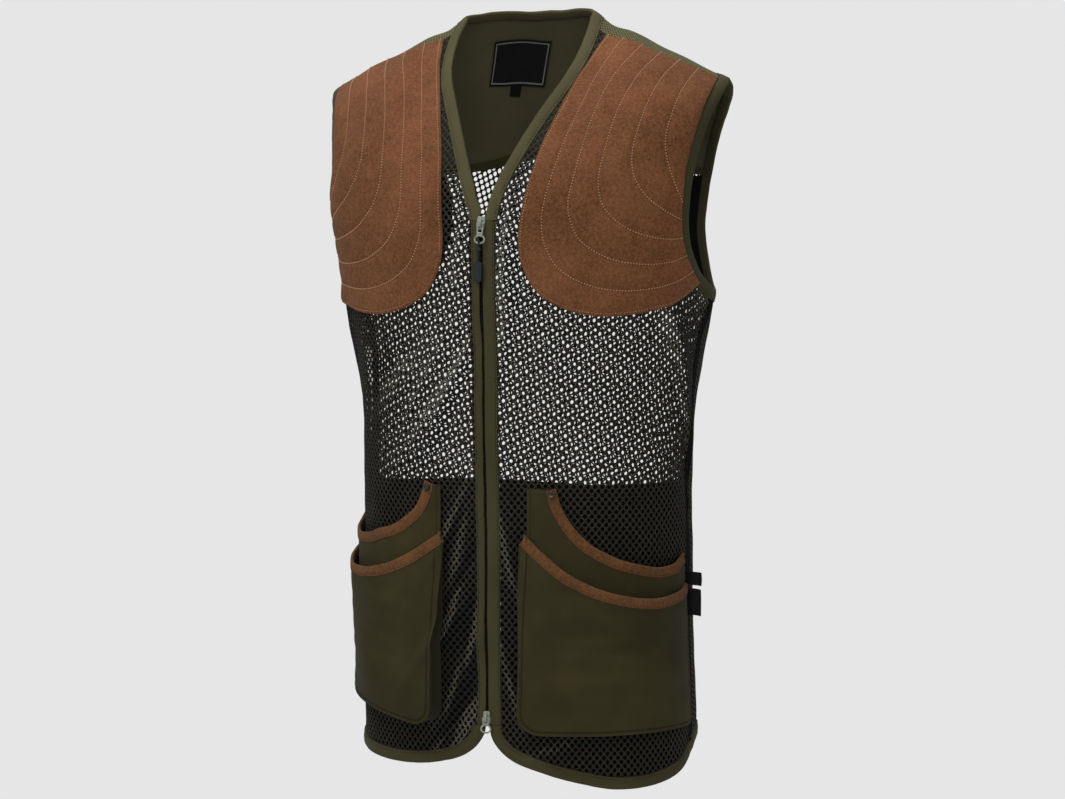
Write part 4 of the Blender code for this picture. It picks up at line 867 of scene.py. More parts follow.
def inset(path, distance, closed=False):
    """A path moved sideways over the cloth, to the left of its direction seen from outside."""
    path = np.asarray(path, float)
    across, reach = path[:, 0], path[:, 1]
    sideways, upward = directions(across, reach)
    points = bare(across, reach)
    if closed:
        run = np.roll(points, -1, axis=0) - np.roll(points, 1, axis=0)
    else:
        run = np.gradient(points, axis=0)
    left = np.cross(np.cross(sideways, upward), run)
    left /= np.linalg.norm(left, axis=1, keepdims=True)
    moved = []
    for a, b, way in zip(sideways, upward, left):
        moved.append(np.linalg.lstsq(np.stack([a, b], axis=1), way * distance, rcond=None)[0])
    return path + np.array(moved)


def patch(bottom, top, left, right):
    """A grid of places between four edges, rows from bottom to top."""
    bottom, top, left, right = (np.asarray(edge, float) for edge in (bottom, top, left, right))
    u = np.linspace(0, 1, len(bottom))[None, :, None]
    v = np.linspace(0, 1, len(left))[:, None, None]
    sides = (1 - u) * left[:, None] + u * right[:, None]
    low = (1 - u) * bottom[0] + u * bottom[-1]
    high = (1 - u) * top[0] + u * top[-1]
    return sides + (1 - v) * (bottom[None] - low) + v * (top[None] - high)


def on_side(path, side):
    """A path or grid drawn for the wearer's left, put on either side."""
    path = np.array(path, float)
    path[..., 0] *= side
    return path


def upright(across, levels):
    """A straight line up the pattern, this far across."""
    return np.stack([np.full(len(levels), across), levels], axis=1)


def arm_line():
    """The armhole's sewing line, from the side seam up the front, over the shoulder and down the back."""
    rows = []
    for table, reach_of in ((ARM_UP, float), (ARM_DOWN, behind_level)):
        for row in table:
            across = float(RINGS.across(climb_of(row.level), 90 + row.past))
            rows.append(Edge(across, reach_of(row.level)))
    return curve(rows, ARM_POINTS)


def arm_rise(arm):
    """The part of the armhole's line that climbs, from its foot to its highest reach."""
    foot = int(np.argmin(arm[: len(arm) // 3, 1]))
    return arm[foot : int(np.argmax(arm[:, 1])) + 1]


def between(line, start, end, count):
    """Evenly spaced points of a line whose reach always grows, between two reaches."""
    shares = np.linspace(0, 1, len(line))
    low, high = np.interp([start, end], line[:, 1], shares)
    inner = shares[(shares > low) & (shares < high)]
    keep = np.concatenate([[low], inner, [high]])
    part = np.stack([np.interp(keep, shares, line[:, k]) for k in range(2)], axis=1)
    return along_line(part, np.linspace(0, 1, count))


class Side:
    """The sewing lines of one side, drawn for the wearer's left."""

    def __init__(self, side):
        self.side = side
        self.name = "left" if side > 0 else "right"
        self.strip = STRIP_LEFT if side > 0 else STRIP_RIGHT
        self.side_level = ARM_UP[0].level
        yoke_reach = behind_level(YOKE_LEVEL)
        arm = arm_line()
        rising = arm_rise(arm)
        self.arm_front = between(rising, self.side_level, SEAM_AT_ARM, V_ROWS + NECK_ROWS + 1)
        self.arm_over = between(rising, SEAM_AT_ARM, yoke_reach, ARM_OVER_ROWS + 1)
        falling = arm[int(np.argmax(arm[:, 1] > yoke_reach)) - 1 :]
        self.arm_back = along_line(falling, np.linspace(0, 1, ARM_BACK_ROWS + 1))
        self.neck_front = curve((Edge(self.strip, ZIP_TOP),) + NECK_FRONT, NECK_ROWS + 1)
        self.neck_over = curve(NECK_OVER, NECK_COLUMNS + 1)
        self.neck = np.concatenate([self.neck_front, self.neck_over[1:]])
        self.neck_edge = inset(self.neck, NECK_TAPE)
        self.neck_edge[0] = (STRIP_START, ZIP_TOP)
        self.neck_edge[-1, 0] = 0
        self.shoulder = curve(SHOULDER_SEAM + (Edge(*self.arm_front[-1]),), SHOULDER_COLUMNS + 1)
        self.hem_front = self.hem(HEM_FRONT, False)
        self.hem_back = self.hem(HEM_BACK, True)
        self.hem_front_sewn = inset(self.hem_front, HEM_TAPE)
        self.hem_front_sewn[0] = (self.strip, ZIP_FOOT)
        self.hem_back_sewn = inset(self.hem_back, -HEM_TAPE)
        self.hem_back_sewn[0, 0] = 0
        corner = behind_level(self.hem_back_sewn[-1, 1])
        self.hem_back_sewn[-1, 0] = RINGS.quarter(climb_of(corner), True)
        self.hem_front_sewn[-1] = (RINGS.quarter(climb_of(corner), False), corner)
        self.seam_levels = np.linspace(corner, self.side_level, SEAM_ROWS + 1)

    def hem(self, rows, behind):
        """The hem's outer edge on the front or the back, from the middle to the side seam."""
        levels = [Edge(row.across, getattr(row, self.name)) for row in rows]
        end = levels[-1].reach
        levels[-1] = Edge(float(RINGS.quarter(climb_of(end), behind)), end)
        if behind:
            levels = [Edge(row.across, behind_level(row.reach)) for row in levels]
        return curve(levels, (SHOULDER_COLUMNS + NECK_COLUMNS if behind else FRONT_COLUMNS) + 1)

    def seam(self, behind):
        """The front's or the back's edge along the side seam."""
        across = RINGS.quarter(climb_of(self.seam_levels), behind) - SEAM / 2
        levels = behind_level(self.seam_levels) if behind else self.seam_levels
        return np.stack([across, levels], axis=1)

    def centre_edge(self):
        """The front panel's edge beside the strip, then beside the neck tape."""
        low = np.linspace(ZIP_FOOT, self.side_level, SEAM_ROWS + 1)
        high = np.linspace(self.side_level, ZIP_TOP, V_ROWS + 1)[1:]
        straight = upright(self.strip, np.concatenate([low, high]))
        return np.concatenate([straight, self.neck_front[1:]])


def yoke_grid(left, right):
    """Rows from the shoulder seams down to the back seam, columns from the right arm to the left."""
    rims = []
    for half in (right, left):
        shoulder = half.shoulder[::-1] + (0, SHOULDER_GAP / 2)
        rims.append(on_side(np.concatenate([shoulder[:-1], half.neck_over]), half.side))
    top = np.concatenate([rims[0], rims[1][::-1][1:]])
    arms = [on_side(half.arm_over, half.side) for half in (right, left)]
    for arm, end in zip(arms, (top[0], top[-1])):
        arm[0] = end
        arm[-1, 1] -= SEAM / 2
    across = np.linspace(arms[0][-1, 0], arms[1][-1, 0], len(top))
    foot = np.stack([across, np.full(len(top), arms[0][-1, 1])], axis=1)
    return patch(top, foot, arms[0], arms[1])


def pad_grid(half):
    """Rows from the pad's outer edge in to the arm, columns from the shoulder seam to the armhole."""
    rising = arm_rise(arm_line())
    foot = Edge(float(np.interp(PAD_FOOT_LEVEL, rising[:, 1], rising[:, 0])) - 2 * SEAM, PAD_FOOT_LEVEL)
    edge = curve(PAD_EDGE + (foot,), PAD_COLUMNS + 1)
    rows = PAD_ROWS + 1
    shoulder_end = half.shoulder[-1] - (2 * SEAM, 4 * SEAM)
    shoulder = curve(SHOULDER_SEAM + (Edge(*half.arm_front[-1]),), 60) - (0, 4 * SEAM)
    seam = along_line(shoulder, np.linspace(0, 1, 200))
    seam = seam[seam[:, 0] > edge[0, 0]]
    top = along_line(np.concatenate([edge[:1], seam[1:-1], [shoulder_end]]), np.linspace(0, 1, rows))
    side = between(rising, foot.reach, PAD_CORE_LEVEL, rows) - (2 * SEAM, 0)
    core = between(rising, PAD_CORE_LEVEL, float(shoulder_end[1]), PAD_COLUMNS + 1)[::-1] - (2 * SEAM, 0)
    side[0], side[-1] = edge[-1], core[-1]
    core[0] = top[-1]
    return patch(edge, core, top, side)


def pocket_share(across):
    """How far across a pocket a place is: 0 at its inner edge and 1 at its outer edge."""
    return (across - POCKET_INNER) / (POCKET_OUTER - POCKET_INNER)


def hung(half, path):
    """Pocket places as they hang on one side of the vest."""
    path = np.array(path, float)
    hang = POCKET_HANGS[half.name]
    u = pocket_share(path[..., 0])
    v = (path[..., 1] - POCKET_BOTTOM) / (BACK_LAYER_TOP - POCKET_BOTTOM)
    inner = hang.inner_foot * (1 - v) + hang.inner_top * v
    outer = hang.outer_foot * (1 - v) + hang.outer_top * v
    path[..., 0] += inner * (1 - u) + outer * u
    path[..., 1] += hang.rise * u
    return on_side(path, half.side)


def front_stand(across, reach):
    """How far the front layer's face stands off the vest."""
    u = np.clip(pocket_share(across), 0, 1)
    mouth = smooth(FRONT_RIM, "reach", across)
    rise = np.clip((reach - POCKET_BOTTOM) / (mouth - POCKET_BOTTOM), 0, 1)
    ease = u * u * (3 - 2 * u)
    base = smooth(FRONT_STANDS, "inner", rise) * (1 - ease) + FRONT_STAND_OUTER * ease
    return base + FRONT_BELLY * np.sin(math.pi * u) * (0.35 + 0.65 * rise)


def back_stand(across, reach):
    """How far the back layer's face stands off the vest."""
    u = np.clip(pocket_share(across), 0, 1)
    rise = np.clip((reach - POCKET_BOTTOM) / BACK_BELLY_RISE, 0, 1)
    return BACK_STAND_EDGE + BACK_BELLY * np.sin(math.pi * u) * np.sin(math.pi / 2 * rise)


def pocket_crease(across, reach, seed):
    """Soft creases in a pocket's cloth, dying away at its edges."""
    u = np.clip(pocket_share(across), 0, 1)
    fade = np.clip(4 * u * (1 - u), 0, 1) * np.clip((reach - POCKET_BOTTOM) / 0.02, 0, 1)
    broad = 0.0015 * waves(across, reach * 0.7, 0.070, seed)
    return fade * (broad + 0.0007 * waves(across, reach * 1.4, 0.034, seed + 1))


def front_face(across, reach):
    """The height of the front layer's face, with its creases."""
    return front_stand(across, reach) + pocket_crease(across, reach, 41)


def back_face(across, reach):
    """The height of the back layer's face, with its creases."""
    return back_stand(across, reach) + 0.6 * pocket_crease(across, reach, 43)


def pocket_outline(shrink, start, end):
    """The sewn edge: down the inner side, round the corner, along the bottom and up the outer side."""
    inner, outer, bottom = POCKET_INNER + shrink, POCKET_OUTER - shrink, POCKET_BOTTOM + shrink
    radius = POCKET_CORNER - shrink
    near = radius / 2
    corner = [
        (inner + radius * (1 - math.cos(turn)), bottom + radius * (1 - math.sin(turn)))
        for turn in np.linspace(0, math.pi / 2, CORNER_POINTS)
    ]
    far = [
        (outer - near * (1 - math.sin(turn)), bottom + near * (1 - math.cos(turn)))
        for turn in np.linspace(0, math.pi / 2, FAR_CORNER_POINTS)
    ]
    side = np.linspace(start, corner[0][1], SIDE_POINTS + 1)[:-1]
    foot = np.linspace(corner[-1][0], far[0][0], FOOT_POINTS + 2)[1:-1]
    rise = np.linspace(far[-1][1], end, SIDE_POINTS + 1)[1:]
    path = [(inner, level) for level in side] + corner + [(across, bottom) for across in foot]
    return np.array(path + far + [(outer, level) for level in rise])


def layer_grid(top, shrink, start, end):
    """A pocket layer's places, between its rounded lower corner and its top edge."""
    outline = pocket_outline(shrink, start, end)
    middle = SIDE_POINTS + CORNER_POINTS // 2
    bottom_end = SIDE_POINTS + CORNER_POINTS + FOOT_POINTS + FAR_CORNER_POINTS // 2
    left = np.concatenate([outline[: middle + 1][::-1], [top[0]]])
    right = np.concatenate([outline[bottom_end:], [top[-1]]])
    shares = np.linspace(0, 1, POCKET_ROWS + 1)
    foot = along_line(outline[middle : bottom_end + 1], np.linspace(0, 1, len(top)))
    return patch(foot, top, along_line(left, shares), along_line(right, shares))


def local_frame(spot, out):
    """Where a small hard piece sits: its origin, and its axes across, up along the cloth and outward."""
    spot = np.asarray(spot, float)
    origin = place(spot, out)
    normal = outward(spot[0], spot[1])
    up = place(spot + (0, 0.002), out) - origin
    up -= normal * (up @ normal)
    up /= np.linalg.norm(up)
    return origin, np.stack([np.cross(up, normal), up, normal], axis=1)


def circle(x, y, radius_x, radius_y, count, start=0.0, turn=2 * math.pi):
    """Points round an ellipse, or round a part of it with both its ends."""
    steps = np.linspace(start, start + turn, count, endpoint=turn != 2 * math.pi)
    return [(x + radius_x * math.cos(t), y + radius_y * math.sin(t)) for t in steps]


def rounded(half_width, half_height, radius, steps=4):
    """A rectangle's outline with round corners, about the middle."""
    points = []
    for quarter in range(4):
        x = (half_width - radius) * (1 if quarter in (0, 3) else -1)
        y = (half_height - radius) * (1 if quarter in (0, 1) else -1)
        for turn in np.linspace(0, math.pi / 2, steps):
            angle = quarter * math.pi / 2 + turn
            points.append((x + radius * math.cos(angle), y + radius * math.sin(angle)))
    return points


def shown(name, data):
    """A new object of the scene, at the origin."""
    made = bpy.data.objects.new(name, data)
    bpy.context.scene.collection.objects.link(made)
    return made


class Socket:
    """One output of a node, with arithmetic."""

    def __init__(self, nodes, socket):
        self.nodes = nodes
        self.socket = socket

    def __add__(self, other):
        return self.nodes.math("ADD", self, other)

    def __sub__(self, other):
        return self.nodes.math("SUBTRACT", self, other)

    def __mul__(self, other):
        return self.nodes.math("MULTIPLY", self, other)

    def __rsub__(self, other):
        return self.nodes.math("SUBTRACT", other, self)

    __radd__ = __add__
    __rmul__ = __mul__


class Nodes:
    """A node tree that is filled in with one call for each node."""

    def __init__(self, tree):
        self.tree = tree

    def add(self, kind, settings=None, sockets=None, out=0):
        """A new node with its settings and its sockets' values or links; it gives one of its outputs."""
        node = self.tree.nodes.new(kind)
        for name, value in (settings or {}).items():
            setattr(node, name, value)
        for key, value in (sockets or {}).items():
            if isinstance(value, Socket):
                self.tree.links.new(value.socket, node.inputs[key])
            else:
                node.inputs[key].default_value = value
        return Socket(self, node.outputs[out]) if len(node.outputs) else node

    def math(self, operation, first, second=0.0, clamp=False):
        return self.add("ShaderNodeMath", {"operation": operation, "use_clamp": clamp}, {0: first, 1: second})

    def vector(self, operation, first, second):
        return self.add("ShaderNodeVectorMath", {"operation": operation}, {0: first, 1: second})

    def blend(self, share, first, second):
        """A colour between two others."""
        settings = {"data_type": "RGBA"}
        return self.add("ShaderNodeMix", settings, {0: share, 6: first, 7: second}, out=2)

    def scaled(self, vector, factor):
        return self.add("ShaderNodeVectorMath", {"operation": "SCALE"}, {0: vector, "Scale": factor})

    def shape_of(self, item):
        """The mesh of an object that is given to the tree."""
        return self.add("GeometryNodeObjectInfo", {}, {"Object": item}, out=4)

    def vector_named(self, name):
        return self.add("GeometryNodeInputNamedAttribute", {"data_type": "FLOAT_VECTOR"}, {"Name": name})

    def keep(self, mesh, name, vector):
        """The mesh with a vector kept at each of its points."""
        settings = {"data_type": "FLOAT_VECTOR", "domain": "POINT"}
        sockets = {"Geometry": mesh, "Name": name, "Value": vector}
        return self.add("GeometryNodeStoreNamedAttribute", settings, sockets)

    def set_down(self, points, item, turn=None):
        """An object's mesh at every point, as plain geometry."""
        sockets = {"Points": points, "Instance": self.shape_of(item)}
        if turn:
            sockets["Rotation"] = turn
        copies = self.add("GeometryNodeInstanceOnPoints", {}, sockets)
        return self.add("GeometryNodeRealizeInstances", {}, {0: copies})

    def hand_out(self, mesh, look):
        """Ends a tree with its mesh in one material."""
        done = self.add("GeometryNodeSetMaterial", {}, {0: mesh, "Material": look})
        self.add("NodeGroupOutput", {}, {0: done})
        return self.tree


class Look(Nodes):
    """One finish: a Principled shader and what feeds it."""

    def __init__(self, name, roughness, metallic=0.0, sheen=0.0, shine=0.22):
        self.material = bpy.data.materials.new(name)
        self.material.use_nodes = True
        super().__init__(self.material.node_tree)
        self.shader = self.tree.nodes["Principled BSDF"]
        self.set("Roughness", roughness)
        self.set("Metallic", metallic)
        self.set("Sheen Weight", sheen)
        self.set("Sheen Roughness", 0.5)
        self.set("Specular IOR Level", shine)
        self.spot = self.add("ShaderNodeTexCoord", out=3)
        self.pattern = self.add("ShaderNodeUVMap", {"uv_map": "pattern"})

    def set(self, name, value):
        """Gives an input of the shader its value or its link."""
        if isinstance(value, Socket):
            self.tree.links.new(value.socket, self.shader.inputs[name])
        else:
            self.shader.inputs[name].default_value = value

    def noise(self, scale, detail=3.0, rough=0.55):
        sockets = {"Vector": self.spot, "Scale": scale, "Detail": detail, "Roughness": rough}
        return self.add("ShaderNodeTexNoise", {}, sockets)

    def along(self, axis):
        """The pattern's size across, 0, or its reach, 1."""
        return self.add("ShaderNodeSeparateXYZ", {}, {0: self.pattern}, out=axis)

    def wave(self, value, step):
        """A soft ridge once every step, from 0 to 1."""
        return self.math("SINE", value * (2 * math.pi / step)) * 0.5 + 0.5

    def step(self, value, low, high):
        settings = {"interpolation_type": "SMOOTHSTEP"}
        return self.add("ShaderNodeMapRange", settings, {0: value, 1: low, 2: high})

    def kept(self, name):
        """A number that the mesh keeps at each point."""
        return self.add("ShaderNodeAttribute", {"attribute_name": name}, out=2)

    def toned(self, tone, dark, light):
        return self.blend(tone, shade(*dark), shade(*light))

    def done(self, colour, height, depth, strength=1.0):
        """The material, once it has its colour and its relief."""
        self.set("Base Color", colour)
        relief = {"Strength": strength, "Distance": depth, "Height": height}
        self.set("Normal", self.add("ShaderNodeBump", {}, relief))
        return self.material


def shade(red, green, blue):
    """A colour given as the eye sees it, out of 255."""
    return (*(((c / 255 + 0.055) / 1.055) ** 2.4 if c > 10 else c / 3294 for c in (red, green, blue)), 1)


def net_look():
    """Dark knitted strands with painted light from the folds: lighter where a fold turns them to the light,
    painted shade where it turns them away.
    """
    look = Look("net_strands", roughness=0.6, shine=0.3)
    fibres = look.noise(900, 2.0)
    blotch = look.noise(14, 2.0)
    lit = look.step(fibres, 0.36, 0.66)
    crease = look.kept("crease")
    colour = look.toned(lit, (15, 14, 9), (62, 59, 47))
    colour = look.blend(look.step(blotch, 0.35, 0.7) * 0.5, colour, shade(30, 28, 20))
    # Painted highlight: a lighter copy of the strands' colour where a fold faces the light
    painted_highlight = look.toned(lit, (44, 42, 35), (118, 114, 98))
    colour = look.blend(look.step(crease, 0.50, 0.95), colour, painted_highlight)
    # Painted shade: the strands go near black where a fold faces away from the light
    colour = look.blend(look.step(0.5 - crease, 0.0, 0.45) * 0.75, colour, shade(9, 9, 7))
    return look.done(colour, fibres, 0.0004, 0.8)


def olive_look(name, dark, light, rib):
    """Olive cotton: a fine twill, faint fibres and slow changes of shade."""
    look = Look(name, roughness=0.86, sheen=0.05)
    across, reach = look.along(0), look.along(1)
    weave = look.wave(across + reach * 0.62, rib)
    cross = look.wave(reach, rib * 0.8)
    fibres = look.noise(1400, 3.0, 0.7)
    slow = look.step(look.noise(9, 2.0), 0.3, 0.7)
    tone = look.math("ADD", weave * 0.30 + cross * 0.12, fibres * 0.40 + slow * 0.25, clamp=True)
    look.set("Roughness", 0.78 + fibres * 0.16)
    return look.done(look.toned(tone, dark, light), weave * 0.6 + cross * 0.3 + fibres * 0.5, 0.00012, 0.8)


def yoke_look():
    """The yoke's outside: small raised dimples in rows."""
    look = Look("yoke_dimpled", roughness=0.8, sheen=0.05)
    across, reach = look.along(0), look.along(1)
    dimple = look.wave(across + reach * 0.5, DIMPLE_STEP) * look.wave(reach - across * 0.5, DIMPLE_STEP)
    fibres = look.noise(1100, 3.0)
    tone = look.math("ADD", dimple * 0.85, fibres * 0.25, clamp=True)
    return look.done(look.toned(tone, (52, 50, 30), (148, 142, 98)), dimple + fibres * 0.3, 0.00035, 0.9)


def suede_look(name, dark, light):
    """Brushed suede: a fine nap, a coarser grain and faint patches."""
    look = Look(name, roughness=0.94, sheen=0.06, shine=0.12)
    nap = look.noise(760, 4.0, 0.75)
    grain = look.step(look.noise(330, 5.0, 0.8), 0.36, 0.64)
    brushed = look.noise(60, 4.0, 0.65)
    patches = look.step(look.noise(12, 3.0, 0.6), 0.3, 0.72)
    fine = look.step(nap, 0.3, 0.7) * 0.30 + grain * 0.30
    tone = look.math("ADD", fine + brushed * 0.20, patches * 0.24, clamp=True)
    look.set("Roughness", 0.86 + nap * 0.12)
    return look.done(look.toned(tone, dark, light), nap * 0.8 + brushed * 0.6, 0.00035, 0.75)


def pocket_look():
    """Olive pocket cloth: a fine smooth weave, and a pressed seam near the edge, with painted shade darkening
    the cloth along the seam.
    """
    look = Look("olive_pocket", roughness=0.8, sheen=0.04)
    across, reach = look.along(0), look.along(1)
    weave = look.wave(across + reach * 0.6, 0.0008)
    fibres = look.noise(1300, 3.0, 0.7)
    slow = look.step(look.noise(11, 3.0, 0.6), 0.3, 0.72)
    edge = look.kept("edge")
    seam = look.step(look.math("ABSOLUTE", edge - POCKET_SEWN), 0.0002, 0.0012)
    puckers = look.noise(260, 2.0) * (1 - look.step(edge, 0.002, 0.010))
    tone = look.math("ADD", weave * 0.16 + fibres * 0.32, slow * 0.36, clamp=True)
    colour = look.toned(tone, (43, 39, 20), (83, 76, 42))
    look.set("Roughness", 0.72 + fibres * 0.18)
    height = seam * 1.6 + weave * 0.12 + fibres * 0.15 + puckers * 0.9
    # Painted shade: the cloth is darkened towards a dark olive along the pressed seam
    return look.done(look.blend(seam * 0.35 + 0.65, shade(26, 24, 15), colour), height, 0.00035, 0.8)


def label_look():
    """Black woven cloth with one thin grey line framing it."""
    look = Look("woven_label", roughness=0.6, shine=0.3)
    across, up = look.along(0), look.along(1)
    weave = look.wave(across, 0.0005) * look.wave(up, 0.0006)
    fibres = look.noise(1200, 2.0)
    wide = look.math("ABSOLUTE", across) - (LABEL_WIDTH / 2 - FRAME_INSET)
    high = look.math("ABSOLUTE", up) - (LABEL_HEIGHT / 2 - FRAME_INSET)
    off = look.math("ABSOLUTE", look.math("MAXIMUM", wide, high))
    line = 1 - look.step(off, 0.00045, 0.00085)
    cloth = look.toned(weave * 0.5 + fibres * 0.4, (12, 13, 16), (34, 36, 42))
    return look.done(look.blend(line, cloth, shade(152, 154, 156)), weave + line * 0.8, 0.0001, 0.8)


def cord_look():
    """A braided cord: two sets of strands winding opposite ways."""
    look = Look("braided_cord", roughness=0.75, shine=0.3)
    along, around = look.along(0), look.along(1)
    one = look.wave(along + around * 1.2, 0.0012)
    other = look.wave(along - around * 1.2, 0.0012)
    braid = look.math("MAXIMUM", one, other)
    return look.done(look.toned(braid, (18, 20, 26), (48, 52, 62)), braid, 0.00015, 0.9)


def plain_weave_look(name, step, scale, detail, dark, light, depth, **finish):
    """Black cloth in a plain weave."""
    look = Look(name, **finish)
    weave = look.wave(look.along(0), step) * look.wave(look.along(1), step)
    fibres = look.noise(scale, detail)
    colour = look.toned(weave * 0.5 + fibres * 0.4, dark, light)
    return look.done(colour, weave + fibres * 0.4, depth, 0.8)


def grainy_look(name, scale, dark, light, depth, strength, **finish):
    """A plain finish with a fine even grain, such as thread or rubber."""
    look = Look(name, **finish)
    grain = look.noise(scale, 2.0)
    return look.done(look.toned(grain, dark, light), grain, depth, strength)


def metal_look(name, dark, light, roughness, metallic=1.0):
    """Cast metal, unevenly worn bright."""
    look = Look(name, roughness=roughness, metallic=metallic, shine=0.5)
    wear_marks = look.noise(420, 4.0, 0.7)
    worn = look.step(wear_marks, 0.35, 0.7)
    look.set("Roughness", roughness + 0.18 * (1 - worn))
    return look.done(look.toned(worn, dark, light), wear_marks, 0.00006, 0.5)


def all_looks():
    """Every finish by its name."""
    looks = {"net": net_look(), "yoke": yoke_look(), "pocket": pocket_look(), "label": label_look()}
    for name, (dark, light, rib) in OLIVES.items():
        looks[name] = olive_look("olive_" + name, dark, light, rib)
    for name, (dark, light) in SUEDES.items():
        looks[name] = suede_look(name, dark, light)
    for name, colour in THREADS.items():
        dark = [c * THREAD_SHADE for c in colour]
        made = grainy_look("thread_" + name, 2600, dark, colour, 0.0001, 1.0, roughness=0.6, sheen=0.05)
        looks["thread_" + name] = made
    looks["lining"] = plain_weave_look(
        "lining_cloth", 0.0012, 700, 3.0, (7, 8, 10), (22, 23, 25), 0.0002, roughness=0.85, shine=0.15
    )
    for name, dark, light in (
        ("woven_black", (13, 13, 15), (36, 36, 40)),
        ("zip_tape", (14, 14, 12), (34, 34, 29)),
    ):
        looks[name] = plain_weave_look(
            name, 0.0007, 900, 2.0, dark, light, 0.00012, roughness=0.7, sheen=0.04
        )
    looks["cord"] = cord_look()
    looks["teeth"] = metal_look("zip_teeth", (22, 22, 20), (52, 52, 46), 0.42)
    looks["metal"] = metal_look("slider_metal", (150, 158, 146), (206, 212, 198), 0.36, 0.35)
    looks["rivet"] = metal_look("rivet_metal", (56, 54, 46), (128, 124, 108), 0.36)
    looks["rubber"] = grainy_look(
        "grip_rubber", 1500, (28, 31, 37), (52, 56, 64), 0.00008, 0.7, roughness=0.55, shine=0.4
    )
    return looks


def finish_mesh(name, points, faces, looks, pattern=None, face_looks=None, angle=40):
    """A shown piece: its mesh, its finishes, and the pattern map where it has one."""
    mesh = bpy.data.meshes.new(name)
    mesh.from_pydata(np.asarray(points, float).tolist(), [], faces)
    for look in looks:
        mesh.materials.append(look)
    if face_looks is not None:
        mesh.polygons.foreach_set("material_index", np.asarray(face_looks, np.int32))
    if pattern is not None:
        loops = np.empty(len(mesh.loops), np.int32)
        mesh.loops.foreach_get("vertex_index", loops)
        layer = mesh.uv_layers.new(name="pattern")
        layer.data.foreach_set("uv", np.asarray(pattern, np.float32)[loops].ravel())
    mesh.validate()
    built = bmesh.new()
    built.from_mesh(mesh)
    bmesh.ops.recalc_face_normals(built, faces=built.faces)
    built.to_mesh(mesh)
    built.free()
    mesh.shade_smooth()
    mesh.set_sharp_from_angle(angle=math.radians(angle))
    return shown(name, mesh)


def grid_faces(index):
    """A face for each cell of a grid of point numbers."""
    corners = (index[:-1, :-1], index[:-1, 1:], index[1:, 1:], index[1:, :-1])
    return np.stack(corners, axis=-1).reshape(-1, 4)


def shell(name, grid, low, high, looks, pattern=None):
    """A closed sheet over a grid of places, between two heights; the second look is its inside."""
    rows, columns = grid.shape[:2]
    size = rows * columns
    points = np.concatenate([place(grid, high).reshape(-1, 3), place(grid, low).reshape(-1, 3)])
    index = np.arange(size).reshape(rows, columns)
    upper = grid_faces(index)
    ring = np.concatenate([index[0, :-1], index[:-1, -1], index[-1, :0:-1], index[:0:-1, 0]])
    after = np.roll(ring, -1)
    rim_faces = np.stack([after, ring, ring + size, after + size], axis=1)
    faces = np.concatenate([upper, upper[:, ::-1] + size, rim_faces]).tolist()
    face_looks = np.repeat([0, len(looks) - 1, 0], [len(upper), len(upper), len(ring)])
    flat = (grid if pattern is None else pattern).reshape(-1, 2)
    return finish_mesh(name, points, faces, looks, np.concatenate([flat, flat]), face_looks)


def loft(name, loops, looks, pattern=None, closed=False, angle=50):
    """A solid swept along a path: an array of one loop of points for each step."""
    loops = np.asarray(loops, float)
    count, around = loops.shape[:2]
    index = np.arange(count * around).reshape(count, around)
    if closed:
        index = np.concatenate([index, index[:1]])
    right = np.roll(index, -1, axis=1)
    faces = np.stack([index[:-1], right[:-1], right[1:], index[1:]], axis=-1).reshape(-1, 4).tolist()
    if not closed:
        faces += [index[0].tolist(), index[-1].tolist()]
    flat = None if pattern is None else np.asarray(pattern, float).reshape(-1, 2)
    return finish_mesh(name, loops.reshape(-1, 3), faces, looks, flat, angle=angle)


def binding(name, sewn, far, look, section=BINDING, lap=BINDING_LAP, closed=False, seed=1):
    """A tape sewn round an edge, a little uneven along its length."""
    sewn, far = np.asarray(sewn, float), np.asarray(far, float)
    reach = far - sewn
    width = np.linalg.norm(reach, axis=1, keepdims=True)
    along = run_length(place(sewn))
    level = np.zeros(len(along))
    uneven = waves(along, level, 0.030, seed) + 0.5 * waves(along, level, 0.011, seed + 7)
    if closed:
        uneven *= np.minimum(1, np.minimum(along, along[-1] - along) / 0.03)
    start = sewn - reach / width * (lap + BINDING_WANDER * uneven[:, None])
    rows, turned = [], []
    for row in section:
        shift = row.share * (width + lap) + row.more
        lift = row.out + BINDING_SWELL * uneven * (1 if row.out > 0 else 0.5)
        rows.append(place(start + reach / width * shift, lift))
        turned.append((float(np.mean(shift)), row.out))
    around = np.concatenate([[0], np.cumsum(np.hypot(*np.diff(turned, axis=0).T))])
    flat = [np.stack([along, np.full(len(along), far_round)], axis=1) for far_round in around]
    return loft(name, np.stack(rows, axis=1), [look], np.stack(flat, axis=1), closed)


def beside(sewn, far, distance):
    """A line this far from a sewn edge, towards the tape's free edge."""
    reach = np.asarray(far, float) - sewn
    return sewn + reach / np.linalg.norm(reach, axis=1, keepdims=True) * distance


def thread_row(path, out, closed=False, inside_out=False):
    """A row of sewing along a path of the pattern, out of its face or seen from the hollow."""
    normals = outward(path[:, 0], path[:, 1])
    return place(path, out), -normals if inside_out else normals, closed


def new_tree(name, kinds):
    """A Geometry Nodes tree with named inputs: what fills it in, and the inputs' sockets."""
    tree = bpy.data.node_groups.new(name, "GeometryNodeTree")
    for key, kind in {"Geometry": "Geometry", **kinds}.items():
        tree.interface.new_socket(key, in_out="INPUT", socket_type="NodeSocket" + kind)
    tree.interface.new_socket("Geometry", in_out="OUTPUT", socket_type="NodeSocketGeometry")
    nodes = Nodes(tree)
    given = tree.nodes.new("NodeGroupInput")
    return nodes, [Socket(nodes, given.outputs[k]) for k in range(len(kinds) + 1)]


